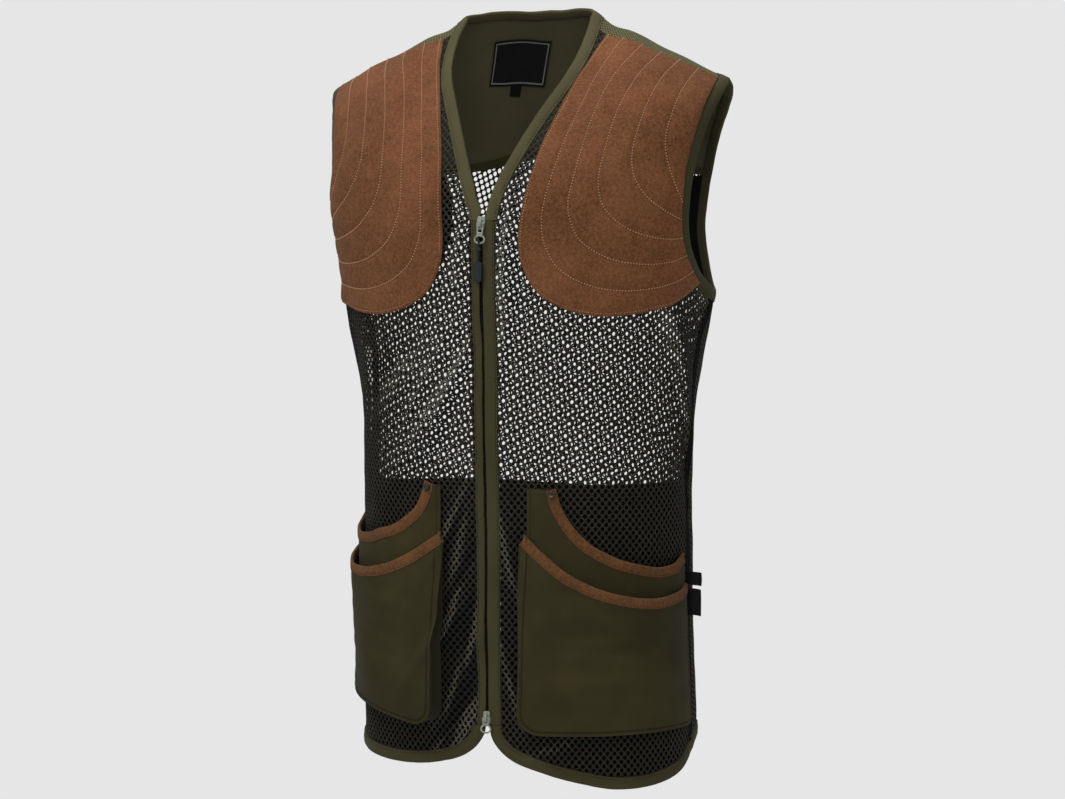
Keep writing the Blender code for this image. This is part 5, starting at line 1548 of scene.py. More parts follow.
def row_tree():
    """Geometry Nodes: one item set along every line, turned to it and away from the cloth."""
    kinds = {"Item": "Object", "Step": "Float", "Look": "Material"}
    nodes, (lines, item, step, look) = new_tree("item_row", kinds)
    sockets = {"Curve": nodes.add("GeometryNodeMeshToCurve", {}, {0: lines}), "Length": step}
    spaced = nodes.add("GeometryNodeResampleCurve", {"mode": "LENGTH"}, sockets)
    run = nodes.add("GeometryNodeInputTangent")
    lengthwise = nodes.add("FunctionNodeAlignRotationToVector", {"axis": "X"}, {"Vector": run})
    turned = nodes.add(
        "FunctionNodeAlignRotationToVector",
        {"axis": "Z", "pivot_axis": "X"},
        {"Rotation": lengthwise, "Vector": nodes.vector_named("away")},
    )
    return nodes.hand_out(nodes.set_down(spaced, item, turned), look)


def net_tree():
    """Geometry Nodes: a cell at every point, welded to a lattice, laid on the worn form and thickened."""
    kinds = {"Cell": "Object", "Form": "Object", "Thickness": "Float", "Look": "Material"}
    nodes, (points, cell, form, thickness, look) = new_tree("net_of_cells", kinds)
    loose = nodes.set_down(points, cell)
    lattice = nodes.add("GeometryNodeMergeByDistance", {}, {"Geometry": loose, "Distance": CELL_WELD})
    body = nodes.shape_of(form)
    pattern = nodes.vector_named("pattern")
    flat = nodes.add("GeometryNodeInputPosition")

    def read(value):
        sockets = {0: body, 1: value, 2: pattern, 3: flat}
        return nodes.add("GeometryNodeSampleUVSurface", {"data_type": "FLOAT_VECTOR"}, sockets)

    normal = read(nodes.add("GeometryNodeInputNormal"))
    kept = nodes.keep(nodes.keep(lattice, "away", normal), "flat", flat)
    spot = nodes.vector(
        "ADD", read(nodes.add("GeometryNodeInputPosition")), nodes.scaled(normal, thickness * -1.0)
    )
    laid = nodes.add("GeometryNodeSetPosition", {}, {"Geometry": kept, "Position": spot})
    rise = nodes.scaled(nodes.vector_named("away"), thickness)
    sockets = {"Mesh": laid, "Offset": rise, "Individual": False}
    raised = nodes.add("GeometryNodeExtrudeMesh", {"mode": "FACES"}, sockets)
    under = nodes.add("GeometryNodeFlipFaces", {}, {"Mesh": laid})
    both = nodes.add("GeometryNodeJoinGeometry", {}, {0: raised})
    nodes.tree.links.new(under.socket, both.socket.node.inputs[0])
    whole = nodes.add("GeometryNodeMergeByDistance", {}, {"Geometry": both, "Distance": SKIN_WELD})
    return nodes.hand_out(whole, look)


def grown(name, lines, tree, values):
    """Runs a node tree on a mesh of points or lines and returns its result as a plain piece."""
    start = shown(name + "_start", lines)
    modifier = start.modifiers.new("rule", "NODES")
    modifier.node_group = tree
    wanted = {item.name: item.identifier for item in tree.interface.items_tree if item.in_out == "INPUT"}
    for key, value in values.items():
        modifier[wanted[key]] = value
    graph = bpy.context.evaluated_depsgraph_get()
    mesh = bpy.data.meshes.new_from_object(start.evaluated_get(graph))
    mesh.name = name
    if "away" in mesh.attributes:
        mesh.attributes.remove(mesh.attributes["away"])
    bpy.data.objects.remove(start)
    return shown(name, mesh)


def paint_fold_light(piece):
    """Keeps, as painted light for the net's colour, how far the cloth at each point turns towards the light,
    worked out from its folds.
    """
    attributes = piece.data.attributes
    flat = np.empty(3 * len(piece.data.vertices), np.float32)
    attributes["flat"].data.foreach_get("vector", flat)
    across, reach = flat[0::3], flat[1::3]
    rise = fold_height(across - FOLD_LIGHT_STEP, reach + FOLD_LIGHT_STEP)
    rise -= fold_height(across + FOLD_LIGHT_STEP, reach - FOLD_LIGHT_STEP)
    slope = np.clip(0.5 - FOLD_LIGHT_STRENGTH * rise / FOLD_LIGHT_STEP, 0, 1)
    attributes.remove(attributes["flat"])
    attributes.new("crease", "FLOAT", "POINT").data.foreach_set("value", slope.astype(np.float32))


def helper(name, points, faces):
    """A small item that a node tree repeats; it is never shown itself."""
    mesh = bpy.data.meshes.new(name)
    mesh.from_pydata(points, [], faces)
    mesh.shade_smooth()
    made = shown(name, mesh)
    made.hide_render = True
    made.hide_viewport = True
    return made


def tube_faces(rings, sides):
    """The faces of a closed tube of rings, its ends first."""
    faces = [tuple(range(sides))[::-1], tuple(range((rings - 1) * sides, rings * sides))]
    for first in range(0, (rings - 1) * sides, sides):
        for k in range(sides):
            n = (k + 1) % sides
            faces.append((first + k, first + n, first + sides + n, first + sides + k))
    return faces


def stitch_item(name, long, thick):
    """One stitch: a short rounded thread that dips at both ends."""
    points = []
    for station in STITCH_STATIONS:
        for k in range(STITCH_SIDES):
            turn = 2 * math.pi * (k + 0.5) / STITCH_SIDES
            y = math.cos(turn) * thick * station.full
            z = math.sin(turn) * thick * station.full * 0.8
            points.append((station.along * long, y, z + station.drop * thick))
    faces = [face[::-1] for face in tube_faces(len(STITCH_STATIONS), STITCH_SIDES)]
    return helper(name, points, faces)


def tack_item():
    """One thread of a bar-tack, lying across the line."""
    made = stitch_item("tack", TACK_LONG, THREAD * 0.9)
    for vert in made.data.vertices:
        vert.co = (vert.co.y, vert.co.x, vert.co.z)
    made.data.flip_normals()
    return made


def tooth_item():
    """One tooth of the zip: a small block, narrower at its top."""
    points = []
    for high, share in ((-0.0006, 1.0), (0.0003, 1.0), (0.0007, 0.62)):
        for x, y in ((-1, -1), (1, -1), (1, 1), (-1, 1)):
            points.append((x * TOOTH_LONG / 2 * share, y * TOOTH_WIDE / 2 * (0.3 + 0.7 * share), high))
    return helper("zip_tooth", points, tube_faces(3, 4))


def turned_by(lean):
    """The turn that takes the net's own lattice onto the pattern, for points kept as rows."""
    turn = math.radians(lean)
    return np.array([[math.cos(turn), math.sin(turn)], [-math.sin(turn), math.cos(turn)]])


def cell_item(name, lean):
    """One cell of the net: a diamond with a rounded hole, one layer thick, leaning by some degrees."""
    points = [(NET_WIDE / 2, 0), (0, NET_HIGH / 2), (-NET_WIDE / 2, 0), (0, -NET_HIGH / 2)]
    for x, y in ((0, 1), (1, 0.47), (1, -0.47), (0, -1), (-1, -0.47), (-1, 0.47)):
        points.append((x * HOLE_WIDE / 2, y * HOLE_HIGH / 2))
    faces = [(0, 5, 6), (0, 1, 5), (1, 4, 5), (1, 9, 4), (1, 2, 9)]
    faces += [(2, 8, 9), (2, 3, 8), (3, 7, 8), (3, 0, 7), (0, 6, 7)]
    return helper(name, np.pad(np.array(points) @ turned_by(lean), ((0, 0), (0, 1))).tolist(), faces)


def line_mesh(name, lines):
    """Lines with an outward direction at each point, as a mesh of edges; a line may close on itself."""
    points, edges, away = [], [], []
    for spots, normals, closed in lines:
        first = len(points)
        points += np.asarray(spots).tolist()
        away += np.asarray(normals).tolist()
        count = len(spots)
        edges += [(first + k, first + k + 1) for k in range(count - 1)]
        if closed:
            edges.append((first + count - 1, first))
    mesh = bpy.data.meshes.new(name)
    mesh.from_pydata(points, edges, [])
    layer = mesh.attributes.new("away", "FLOAT_VECTOR", "POINT")
    layer.data.foreach_set("vector", np.asarray(away, np.float32).ravel())
    return mesh


def set_in_rows(name, item, step, look, rows, tools):
    """A piece made of one item repeated along rows."""
    values = {"Item": tools[item], "Step": step, "Look": look}
    return grown(name, line_mesh(name, rows), tools["row"], values)


def wear(piece, slot, *nodes, body="vest"):
    """Puts a finished piece on its body, in place of the solids it stands for."""
    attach(piece, body)
    if nodes:
        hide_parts(*nodes)
    return piece


def moved_out(outline, distances):
    """A closed outline drawn counter-clockwise, each point moved out by its own distance."""
    run = np.roll(outline, -1, axis=0) - np.roll(outline, 1, axis=0)
    run /= np.maximum(np.linalg.norm(run, axis=1, keepdims=True), 1e-9)
    return outline + np.stack([run[:, 1], -run[:, 0]], axis=1) * np.asarray(distances)[:, None]


def inside(outline, spots):
    """Which of the spots lie inside a closed outline."""
    x, y = spots[:, :1], spots[:, 1:]
    ax, ay = outline.T
    bx, by = np.roll(outline, -1, axis=0).T
    crosses = (ay > y) != (by > y)
    with np.errstate(divide="ignore", invalid="ignore"):
        hit = x < (bx - ax) * (y - ay) / (by - ay) + ax
    return (np.sum(crosses & hit, axis=1) % 2).astype(bool)


def worn_form(name, low, high):
    """The worn face over a rectangle of the pattern, for the net to be laid on."""
    sizes = [np.linspace(a, b, int((b - a) / FORM_STEP) + 2) for a, b in zip(low, high)]
    grid = np.stack(np.meshgrid(*sizes), axis=-1)
    rows, columns = grid.shape[:2]
    faces = grid_faces(np.arange(rows * columns).reshape(rows, columns))
    mesh = bpy.data.meshes.new(name)
    mesh.from_pydata(place(grid).reshape(-1, 3).tolist(), [], faces.tolist())
    flat = np.pad(grid.reshape(-1, 2), ((0, 0), (0, 1))).astype(np.float32)
    layer = mesh.attributes.new("pattern", "FLOAT_VECTOR", "CORNER")
    layer.data.foreach_set("vector", flat[faces.ravel()].ravel())
    made = shown(name, mesh)
    made.hide_render = True
    return made


def net_panel(name, outline, distances, look, tools, side=1, lean=0, only=0):
    """A panel of net: staggered cells whose middles lie inside its outline, on one side only if wanted."""
    edge = moved_out(outline, distances)
    turned = edge @ turned_by(lean).T
    low, high = turned.min(axis=0), turned.max(axis=0)
    i, j = np.meshgrid(
        np.arange(math.floor(low[0] / NET_WIDE), math.ceil(high[0] / NET_WIDE) + 1),
        np.arange(math.floor(2 * low[1] / NET_HIGH), math.ceil(2 * high[1] / NET_HIGH) + 1),
    )
    spots = np.stack([(i + 0.5 * (j % 2)) * NET_WIDE, j * NET_HIGH / 2], axis=-1)
    spots = spots.reshape(-1, 2) @ turned_by(lean)
    spots = spots[inside(edge, spots)]
    if only:
        spots = spots[(spots[:, 0] >= 0) == (only > 0)]
    spots = on_side(spots, side)
    mesh = bpy.data.meshes.new(name)
    mesh.from_pydata(np.pad(spots, ((0, 0), (0, 1))).tolist(), [], [])
    margin = 2 * NET_HIGH
    form = worn_form(name + "_form", spots.min(axis=0) - margin, spots.max(axis=0) + margin)
    cell = tools["leaning_cell" if lean else "cell"]
    net = grown(name, mesh, tools["net"], {"Cell": cell, "Form": form, "Thickness": STRAND, "Look": look})
    bpy.data.objects.remove(form)
    # Painted light: each point keeps how far its fold turns to the light, which lightens and darkens the
    # strands
    paint_fold_light(net)
    net.data.shade_smooth()
    return net


def joined(parts):
    """One outline from edges that each end where the next begins, with a distance for each of its points."""
    outline = np.concatenate([path[:-1] for path, _ in parts])
    distances = np.concatenate([np.full(len(path) - 1, distance) for path, distance in parts])
    return outline, distances


def front_outline(half):
    """The front panel's sewn edges, from the zip's foot, and how far the net runs past each."""
    return joined((
        (half.hem_front_sewn, NET_TUCK),
        (half.seam(False), NET_SHORT),
        (half.arm_front, NET_TUCK),
        (half.shoulder[::-1], NET_TUCK),
        (half.centre_edge()[::-1], NET_TUCK),
    ))


def back_outline(left, right):
    """The lower back's sewn edges, from the yoke seam, and how far the net runs past each."""
    across = np.linspace(left.arm_over[-1, 0], -right.arm_over[-1, 0], 60)
    seam = np.stack([across, np.full(len(across), behind_level(YOKE_LEVEL))], axis=1)
    return joined((
        (seam[::-1], NET_TUCK),
        (left.arm_back, NET_TUCK),
        (left.seam(True)[::-1], NET_SHORT),
        (left.hem_back_sewn[::-1], NET_TUCK),
        (on_side(right.hem_back_sewn, -1), NET_TUCK),
        (on_side(right.seam(True), -1), NET_SHORT),
        (on_side(right.arm_back[::-1], -1), NET_TUCK),
    ))


def back_net(left, right, look, tools):
    """The lower back's net, made in two halves."""
    outline, distances = back_outline(left, right)
    for side, name, nodes in ((1, "left", ["back_lower"]), (-1, "right", [])):
        net = net_panel(f"back_net_{name}", outline, distances, look, tools, lean=BACK_NET_LEAN, only=side)
        part = outline.copy()
        part[:, 0] = np.maximum(part[:, 0] * side, 0)
        wear(net, "net_fabric", *nodes)


def lining(half, looks):
    """The dark lining hung inside a lower front."""
    count = int(np.searchsorted(half.seam_levels, LINING_TOPS[0].reach)) + 1
    outer = half.seam(False)[:count]
    hem = half.hem_front_sewn
    across = np.linspace(half.strip, outer[-1, 0], len(hem))
    top = np.stack([across, smooth(LINING_TOPS, "reach", across)], axis=1)
    left = along_line(np.array([hem[0], top[0]]), np.linspace(0, 1, count))
    outer[0], outer[-1] = hem[-1], top[-1]
    grid = on_side(patch(hem, top, left, outer), half.side)
    grid[:, 0, 0] = half.side * np.maximum(np.abs(grid[:, 0, 0]), ZIP_TAPE_HALF - SEAM)
    high = -CLOTH - LINING_GAP - LINING_SUNK
    piece = shell(f"lower_lining_{half.name}", grid, high - LINING_CLOTH, high, [looks["lining"]])
    wear(piece, "lining_fabric", f"lining_{half.name}")


def arm_lining(half, looks):
    """A strip of the dark lining inside the back net, along the armhole's rear edge."""
    edge = half.arm_back[1:] - (SEAM, 0)
    depth = ARM_LINING * np.linspace(1, 0.35, len(edge))
    none = np.zeros(len(edge))
    grid = np.stack([edge - np.stack([depth * share, none], axis=1) for share in np.linspace(0, 1, 9)])
    grid = on_side(grid, half.side)
    high = -CLOTH - LINING_GAP
    piece = shell(f"arm_lining_{half.name}", grid, high - ARM_LINING_CLOTH, high, [looks["lining"]])
    wear(piece, "lining_fabric")


def yoke(left, right, looks, sewing):
    """The yoke, and the tape that covers its lower seam on the inside."""
    grid = yoke_grid(left, right)
    # Its inside olive is made lighter than the cloth, as painted light
    piece = shell("yoke", grid, *YOKE_HEIGHTS, [looks["yoke"], looks["inside"]])
    wear(piece, "olive_fabric", "back_yoke")
    line = grid[-1]
    tape = np.stack([line + (0, row.share * SEAM_TAPE) for row in SEAM_TAPE_SECTION])
    sunk = np.array([[row.sunk] for row in SEAM_TAPE_SECTION])
    low = -CLOTH - 2 * SEAM - LABEL_CLOTH
    piece = shell("yoke_tape", tape, low + sunk, low + LABEL_CLOTH, [looks["tape"]])
    wear(piece, "olive_fabric", "yoke_seam_tape")
    for side in (1, -1):
        path = line + (0, side * SEAM_TAPE_SEWN)
        sewing["light"].append(thread_row(path, low + 0.0001, inside_out=True))


def bound_edge(name, node, sewn, far, look, sewing, seed, closed=False):
    """A binding on an edge, with its sewing seen from both faces."""
    wear(binding(name, sewn, far, look, closed=closed, seed=seed), "olive_fabric", node)
    for out in TAPE_SEAM_HEIGHTS:
        sewing["olive"].append(thread_row(beside(sewn, far, TAPE_SEAM), out, closed))


def bindings(left, right, looks, sewing):
    """The bound edges: neck, hem and both armholes."""
    sewn = np.concatenate([on_side(right.neck, -1), left.neck[::-1][1:]])
    far = np.concatenate([on_side(right.neck_edge, -1), left.neck_edge[::-1][1:]])
    for path in (sewn, far):
        path[[0, -1], 1] -= NECK_LAP
    # The neck tape's lighter olive is painted light on the rolled edge
    bound_edge("neck_binding", "neck_tape", sewn, far, looks["neck_tape"], sewing, 5)

    paths = []
    for half in (left, right):
        inner = np.concatenate([half.hem_front_sewn[:-1], half.hem_back_sewn[::-1]])
        outer = np.concatenate([half.hem_front[:-1], half.hem_back[::-1]])
        inner[0, 1] -= SEAM
        outer[0, 1] -= SEAM
        paths.append((on_side(inner, half.side), on_side(outer, half.side)))
    sewn, far = (np.concatenate([one, other[::-1][1:]]) for one, other in zip(*paths))
    bound_edge("hem_binding", "hem_tape", sewn, far, looks["tape"], sewing, 11)

    for half in (left, right):
        arm = np.concatenate([half.arm_front[:-1], half.arm_over[:-1], half.arm_back[:-1]])
        far = on_side(inset(arm, -ARM_TAPE, closed=True), half.side)
        name, node = f"arm_binding_{half.name}", f"armhole_tape_{half.name}"
        bound_edge(name, node, on_side(arm, half.side), far, looks["tape"], sewing, 17, closed=True)


def zip_pieces(left, right, looks, sewing, tools):
    """The strips beside the zip, its tape and its teeth."""
    for half in (left, right):
        levels = half.centre_edge()[: SEAM_ROWS + V_ROWS + 1, 1]
        sewn, free = (on_side(upright(x, levels), half.side) for x in (half.strip - SEAM, STRIP_START))
        strip = binding(
            f"strip_{half.name}", sewn, free, looks["tape"], STRIP, lap=STRIP_LAP, seed=23 + half.side
        )
        wear(strip, "olive_fabric", f"zip_strip_{half.name}")
        sewing["olive"].append(thread_row(beside(sewn, free, STRIP_SEAM), STRIP_SEAM_HEIGHT))
    low, high = ZIP_FOOT, ZIP_TOP - 2 * SEAM
    levels = np.linspace(low, high, 160)
    top = TAPE_OUT - TAPE - ZIP_TAPE_GAP
    wide = ZIP_TAPE_HALF + ZIP_TAPE_MORE
    half_section = ((wide, top - ZIP_TAPE_CLOTH), (wide, top), (ZIP_RIDGE_FOOT, top), ZIP_RIDGE)
    section = half_section + tuple((-x, out) for x, out in half_section[::-1])
    loops = np.stack([place(upright(x, levels), out) for x, out in section], axis=1)
    flat = np.stack([upright(x, levels) for x, _ in section], axis=1)
    wear(loft("zip_tape", loops, [looks["zip_tape"]], flat, angle=30), "black_woven", "zip_chain")
    rows = []
    for across, start in ((TOOTH_ACROSS, 0.0), (-TOOTH_ACROSS, TOOTH_STEP / 2)):
        path = upright(across, np.linspace(low + TEETH_END + start, high - TEETH_END, 320))
        rows.append(thread_row(path, TEETH_OUT))
    wear(set_in_rows("zip_teeth", "tooth", TOOTH_STEP, looks["teeth"], rows, tools), "black_woven")


def pad_swell(spots):
    """The pad's slow unevenness."""
    across, reach = spots[..., 0], spots[..., 1]
    return 0.00035 * waves(across, reach, 0.050, 31) + 0.00018 * waves(across, reach, 0.018, 32)


def distance_grid(grid):
    """How far each place of a grid lies from its first row."""
    points = bare(grid[..., 0], grid[..., 1])
    steps = np.linalg.norm(np.diff(points, axis=0), axis=-1)
    nearest = np.concatenate([np.zeros((1, grid.shape[1])), np.cumsum(steps, axis=0)])
    for row, spots in enumerate(points):
        if nearest[row].min() <= NEAR_EDGE:
            nearest[row] = np.linalg.norm(spots[:, None] - points[0][None], axis=-1).min(axis=1)
    return nearest


def sewn_inside(grid, gaps, distance):
    """A line this far inside a grid's first row."""
    line = []
    for column in range(grid.shape[1]):
        row = np.interp(distance, gaps[:, column], np.arange(len(grid)))
        low = int(row)
        part = row - low
        line.append(grid[low, column] * (1 - part) + grid[min(low + 1, len(grid) - 1), column] * part)
    return np.array(line)


def pad(half, looks, sewing):
    """The suede pad: wadding puffed up between sewn lines that follow its edge."""
    grid = pad_grid(half)
    rows = len(grid)
    channel = np.linspace(0, 1, rows)[:, None] * QUILT_CHANNELS
    off_line = np.abs(channel - np.round(channel)) * QUILT_APART
    puff = 0.6 * (1 - np.exp(-((off_line / 0.0015) ** 2))) + 0.4 * np.abs(np.sin(math.pi * channel))
    edge = distance_grid(grid)
    border = np.clip(edge / PAD_EDGE_SEWN, 0, 1)
    rolled = np.sqrt(np.clip(1 - (1 - np.clip(edge / PAD_ROLL, 0, 1)) ** 2, 0, 1))
    near_seam = np.exp(-(((edge - PAD_EDGE_SEWN) / 0.0008) ** 2))
    size = np.where(edge < PAD_EDGE_SEWN, 0.45 * np.sin(math.pi * border) ** 0.6, puff)
    from_seam = np.linalg.norm(grid - grid[:, :1], axis=-1)
    lift = PAD_SUEDE + PAD_ROLL_LIFT * rolled + PAD_PUFF * size - PAD_SEAM_SINK * near_seam
    lift -= PAD_FLATTENED * size * np.exp(-((from_seam / PAD_FLAT) ** 2))
    top = PAD_GAP + lift + pad_swell(grid) * np.clip(edge / 0.004, 0, 1)
    laid = on_side(grid, half.side)
    looks_used = [looks["suede"], looks["suede_back"]]
    piece = shell(f"pad_{half.name}", laid, PAD_GAP - 0.0002, top, looks_used)
    wear(piece, "suede", f"shoulder_pad_{half.name}")
    for k in range(1, QUILT_CHANNELS):
        row = round(k * (rows - 1) / QUILT_CHANNELS)
        sewing["tan"].append(thread_row(laid[row], top[row] + THREAD_OUT))
    line = sewn_inside(grid, edge, PAD_EDGE_SEWN)
    out = PAD_GAP + PAD_SEAM_OUT + 0.75 * pad_swell(line)
    sewing["tan"].append(thread_row(on_side(line, half.side), out))


def rim(name, edge, sewn, face, half, look):
    """A suede binding over a pocket's mouth, and its two rows of sewing."""
    along = run_length(place(edge))
    way = edge - sewn
    width = np.linalg.norm(way, axis=1, keepdims=True)
    base = face(sewn[:, 0], sewn[:, 1]) - POCKET_CLOTH / 2
    base = base + 0.0003 * waves(along, along * 0, 0.020, 51)
    rows, flat = [], []
    for k, row in enumerate(RIM):
        spots = sewn + way / width * (row.share * width + row.more)
        rows.append(place(hung(half, spots), base + row.out))
        flat.append(np.stack([along, np.full(len(along), k * RIM_STEP)], axis=1))
    piece = loft(name, np.stack(rows, axis=1), [look], np.stack(flat, axis=1))
    path = hung(half, sewn + way / width * RIM_SEAM)
    return piece, [thread_row(path, base + out) for out in RIM_SEAM_HEIGHTS]


def pocket_layer(half, layer, top, shrink, face, start, end, look):
    """One layer of a pocket, which keeps each point's distance from its sewn edge for the pressed seam and
    its painted shade.
    """
    grid = layer_grid(top, shrink, start, end)
    high = face(grid[..., 0], grid[..., 1])
    bound = np.concatenate([grid[-1, :1], grid[::-1, 0], grid[0, 1:], grid[1:, -1]])
    gap = np.linalg.norm(grid[:, :, None] - bound[None, None], axis=-1).min(axis=2)
    name = f"pocket_{layer}_cloth_{half.name}"
    piece = shell(name, hung(half, grid), high - POCKET_CLOTH, high, [look], pattern=grid)
    kept = piece.data.attributes.new("edge", "FLOAT", "POINT")
    kept.data.foreach_set("value", np.tile(gap.ravel(), 2).astype(np.float32))
    wear(piece, "olive_fabric", f"pocket_{layer}_{half.name}")


def pocket_gusset(half, start, end, look):
    """The folded side that lets a pocket stand off the vest."""
    outline = pocket_outline(0.0, start, end)
    inward = (pocket_outline(POCKET_CLOTH, start, end) - outline) / POCKET_CLOTH
    depth = front_face(outline[:, 0], outline[:, 1]) - POCKET_CLOTH - 0.0001 - PAD_GAP
    fold = np.minimum(GUSSET_FOLD, 0.25 * depth)
    along = run_length(place(outline))
    shares = np.linspace(0, 1, 9)
    rows, flat = [], []
    for thick, part in ((0.0, shares), (GUSSET_CLOTH, shares[::-1])):
        for share in part:
            bow = np.sin(math.pi * share) * fold + thick
            rows.append(place(hung(half, outline + inward * bow[:, None]), PAD_GAP + depth * share))
            flat.append(np.stack([along, depth * share], axis=1))
    gusset = loft(f"pocket_side_{half.name}", np.stack(rows, axis=1), [look], np.stack(flat, axis=1))
    wear(gusset, "olive_fabric", f"pocket_gusset_{half.name}")


def rivet(name, spot, out, look):
    """A cap rivet: a domed rim round a shallow dish with a dot in the middle."""
    origin, axes = local_frame(spot, out)
    turns = np.linspace(0, 2 * math.pi, 28, endpoint=False)
    loops = []
    for radius, height in RIVET_PROFILE:
        ring = np.stack([np.cos(turns) * radius, np.sin(turns) * radius, np.full(28, height)], axis=1)
        loops.append(origin + ring * (RIVET_RADIUS, RIVET_RADIUS, RIVET_HEIGHT) @ axes.T)
    return loft(name, loops, [look])


def pocket(half, looks, sewing):
    """A pocket: two layers, the folded side, bound mouths, sewing, bar-tacks and a rivet."""
    name = half.name
    tuck = POCKET_CLOTH + 2 * SEAM
    front_rim = curve(FRONT_RIM, POCKET_COLUMNS + 1)
    front_sewn = inset(front_rim, -RIM_TAPE)
    front_sewn[0, 0], front_sewn[-1, 0] = POCKET_INNER, POCKET_OUTER
    back_rim = curve([Edge(getattr(row, name), row.reach) for row in BACK_RIM], POCKET_COLUMNS + 1)
    back_sewn = inset(back_rim, -RIM_TAPE)
    back_rim[-1, 0] = back_sewn[-1, 0] = POCKET_OUTER - tuck
    start, end = front_sewn[0, 1] - 3 * SEAM, front_sewn[-1, 1] - 3 * SEAM
    head = np.array([(POCKET_INNER + tuck, BACK_LAYER_TOP), (back_sewn[0, 0] - SEAM, BACK_LAYER_TOP)])
    back_top = np.concatenate([along_line(head, np.linspace(0, 1, 8))[:-1], back_sewn])
    pocket_layer(half, "front", front_sewn, 0.0, front_face, start, end, looks["pocket"])
    pocket_layer(half, "back", back_top, tuck, back_face, start, end, looks["pocket"])
    pocket_gusset(half, start, end, looks["gusset"])
    mouths = (("front", front_rim, front_sewn, front_face), ("back", back_rim, back_sewn, back_face))
    for layer, edge, sewn, face in mouths:
        piece, rows = rim(f"pocket_{layer}_binding_{name}", edge, sewn, face, half, looks["suede_rim"])
        wear(piece, "suede", f"pocket_{layer}_rim_{name}")
        sewing["brown"] += rows

    path = pocket_outline(POCKET_SEWN, start, end)
    high = front_face(path[:, 0], path[:, 1]) + THREAD_OUT
    sewing["olive"].append(thread_row(hung(half, path), high))
    for spot, aside in ((front_rim[0], TACK_ASIDE), (front_rim[-1], -TACK_ASIDE)):
        line = spot + np.array([(aside, -TACK_DROP - TACK_RUN), (aside, -TACK_DROP)])
        line = along_line(line, np.linspace(0, 1, 6))
        high = front_face(line[:, 0], line[:, 1]) + TACK_OUT
        sewing["tack"].append(thread_row(hung(half, line), high))

    middle = (back_rim[0] + back_sewn[0]) / 2 + (back_rim[4] - back_rim[0]) * 0.3
    out = float(back_face(middle[0], middle[1])) + RIVET_OUT
    piece = rivet(f"rivet_{name}", hung(half, middle), out, looks["rivet"])
    wear(piece, "rivet_metal", f"pocket_rivet_{name}")


def label_places(middle, x, y):
    """Places on a label, from sizes across and up from its middle."""
    turn = math.radians(LABEL_LEAN)
    bow = LABEL_BOW * (2 * x / LABEL_WIDTH) ** 2
    across = middle[0] + x * math.cos(turn) - y * math.sin(turn)
    return np.stack([across, middle[1] + x * math.sin(turn) + y * math.cos(turn) - bow], axis=-1)


def label(name, node, middle, width, height, look, sewing):
    """A woven label sewn inside the yoke, leaning; its pattern runs from its own middle."""
    u, v = np.meshgrid(np.linspace(-0.5, 0.5, 25), np.linspace(-0.5, 0.5, 19))
    grid = label_places(middle, u * width, v * height)
    face = -CLOTH - LABEL_GAP
    high = face + 0.0003 * waves(grid[..., 0], grid[..., 1], 0.03, 61)
    pattern = np.stack([u * width, v * height], axis=-1)
    piece = shell(name, grid, high - LABEL_THICK, high, [look], pattern=pattern)
    wear(piece, "black_woven", node)
    corners = np.array([(-1, -1), (1, -1), (1, 1), (-1, 1), (-1, -1)])
    ring = corners * (width / 2 - LABEL_EDGE, height / 2 - LABEL_EDGE)
    x, y = along_line(ring, np.linspace(0, 1, 60)).T
    sewing["black"].append(thread_row(label_places(middle, x, y), face - 0.0009, inside_out=True))


def labels(looks, sewing):
    """The large label, and the small size tab under it."""
    middle = (LABEL_ACROSS, LABEL_REACH)
    label("neck_patch", "neck_label", middle, LABEL_WIDTH, LABEL_HEIGHT, looks["label"], sewing)
    turn = math.radians(LABEL_LEAN)
    below = (LABEL_HEIGHT + SIZE_TAB_HEIGHT) / 2 + SEAM
    middle = (LABEL_ACROSS - below * math.sin(turn), LABEL_REACH + below * math.cos(turn))
    label("size_patch", "size_tab", middle, SIZE_TAB_WIDTH, SIZE_TAB_HEIGHT, looks["woven_black"], sewing)


def side_loop(loop, look):
    """A folded loop of woven tape caught in the left side seam, standing out a little wavy."""
    top, bottom = (
        np.array((float(RINGS.quarter(climb_of(level), False)), level)) for level in (loop.top, loop.bottom)
    )
    rows, flat = [], []
    for share in np.linspace(0, 1, 13):
        drop = np.array((0.0006 * math.sin(5 * share), share * share * loop.sag))
        thick = LOOP_THICK * (0.42 + 0.16 * (1 - share)) * (0.35 if share == 1 else 1.0)
        ring = []
        for side in (-1, 1):
            for t in np.linspace(0, 1, 7)[:: -side]:
                spot = top * (1 - t) + bottom * t - drop + np.array((side * thick, 0))
                bend = 0.0005 * math.sin(math.pi * t) * share
                ring.append(place(spot, SEAM + share * loop.reach_out + bend))
                flat.append((t * 0.02, share * loop.reach_out))
        rows.append(np.array(ring))
    wear(loft(loop.name + "_tape", rows, [look], np.array(flat)), "black_woven", loop.name)


def side_seam(half, look, sewing):
    """The overlocked join of front and back net."""
    levels = half.seam_levels
    line = np.stack([RINGS.quarter(climb_of(levels), False), levels], axis=1)
    grid = on_side(np.stack([line + (row.aside, 0) for row in OVERLOCK], axis=1), half.side)
    low = np.full(len(OVERLOCK), OVERLOCK_UNDER)
    piece = shell(f"side_join_{half.name}", grid, low, np.array([row.out for row in OVERLOCK]), [look])
    wear(piece, "net_fabric")
    for aside in (-OVERLOCK_SEWN, OVERLOCK_SEWN):
        sewing["black"].append(thread_row(on_side(line + (aside, 0), half.side), OVERLOCK_OUT))


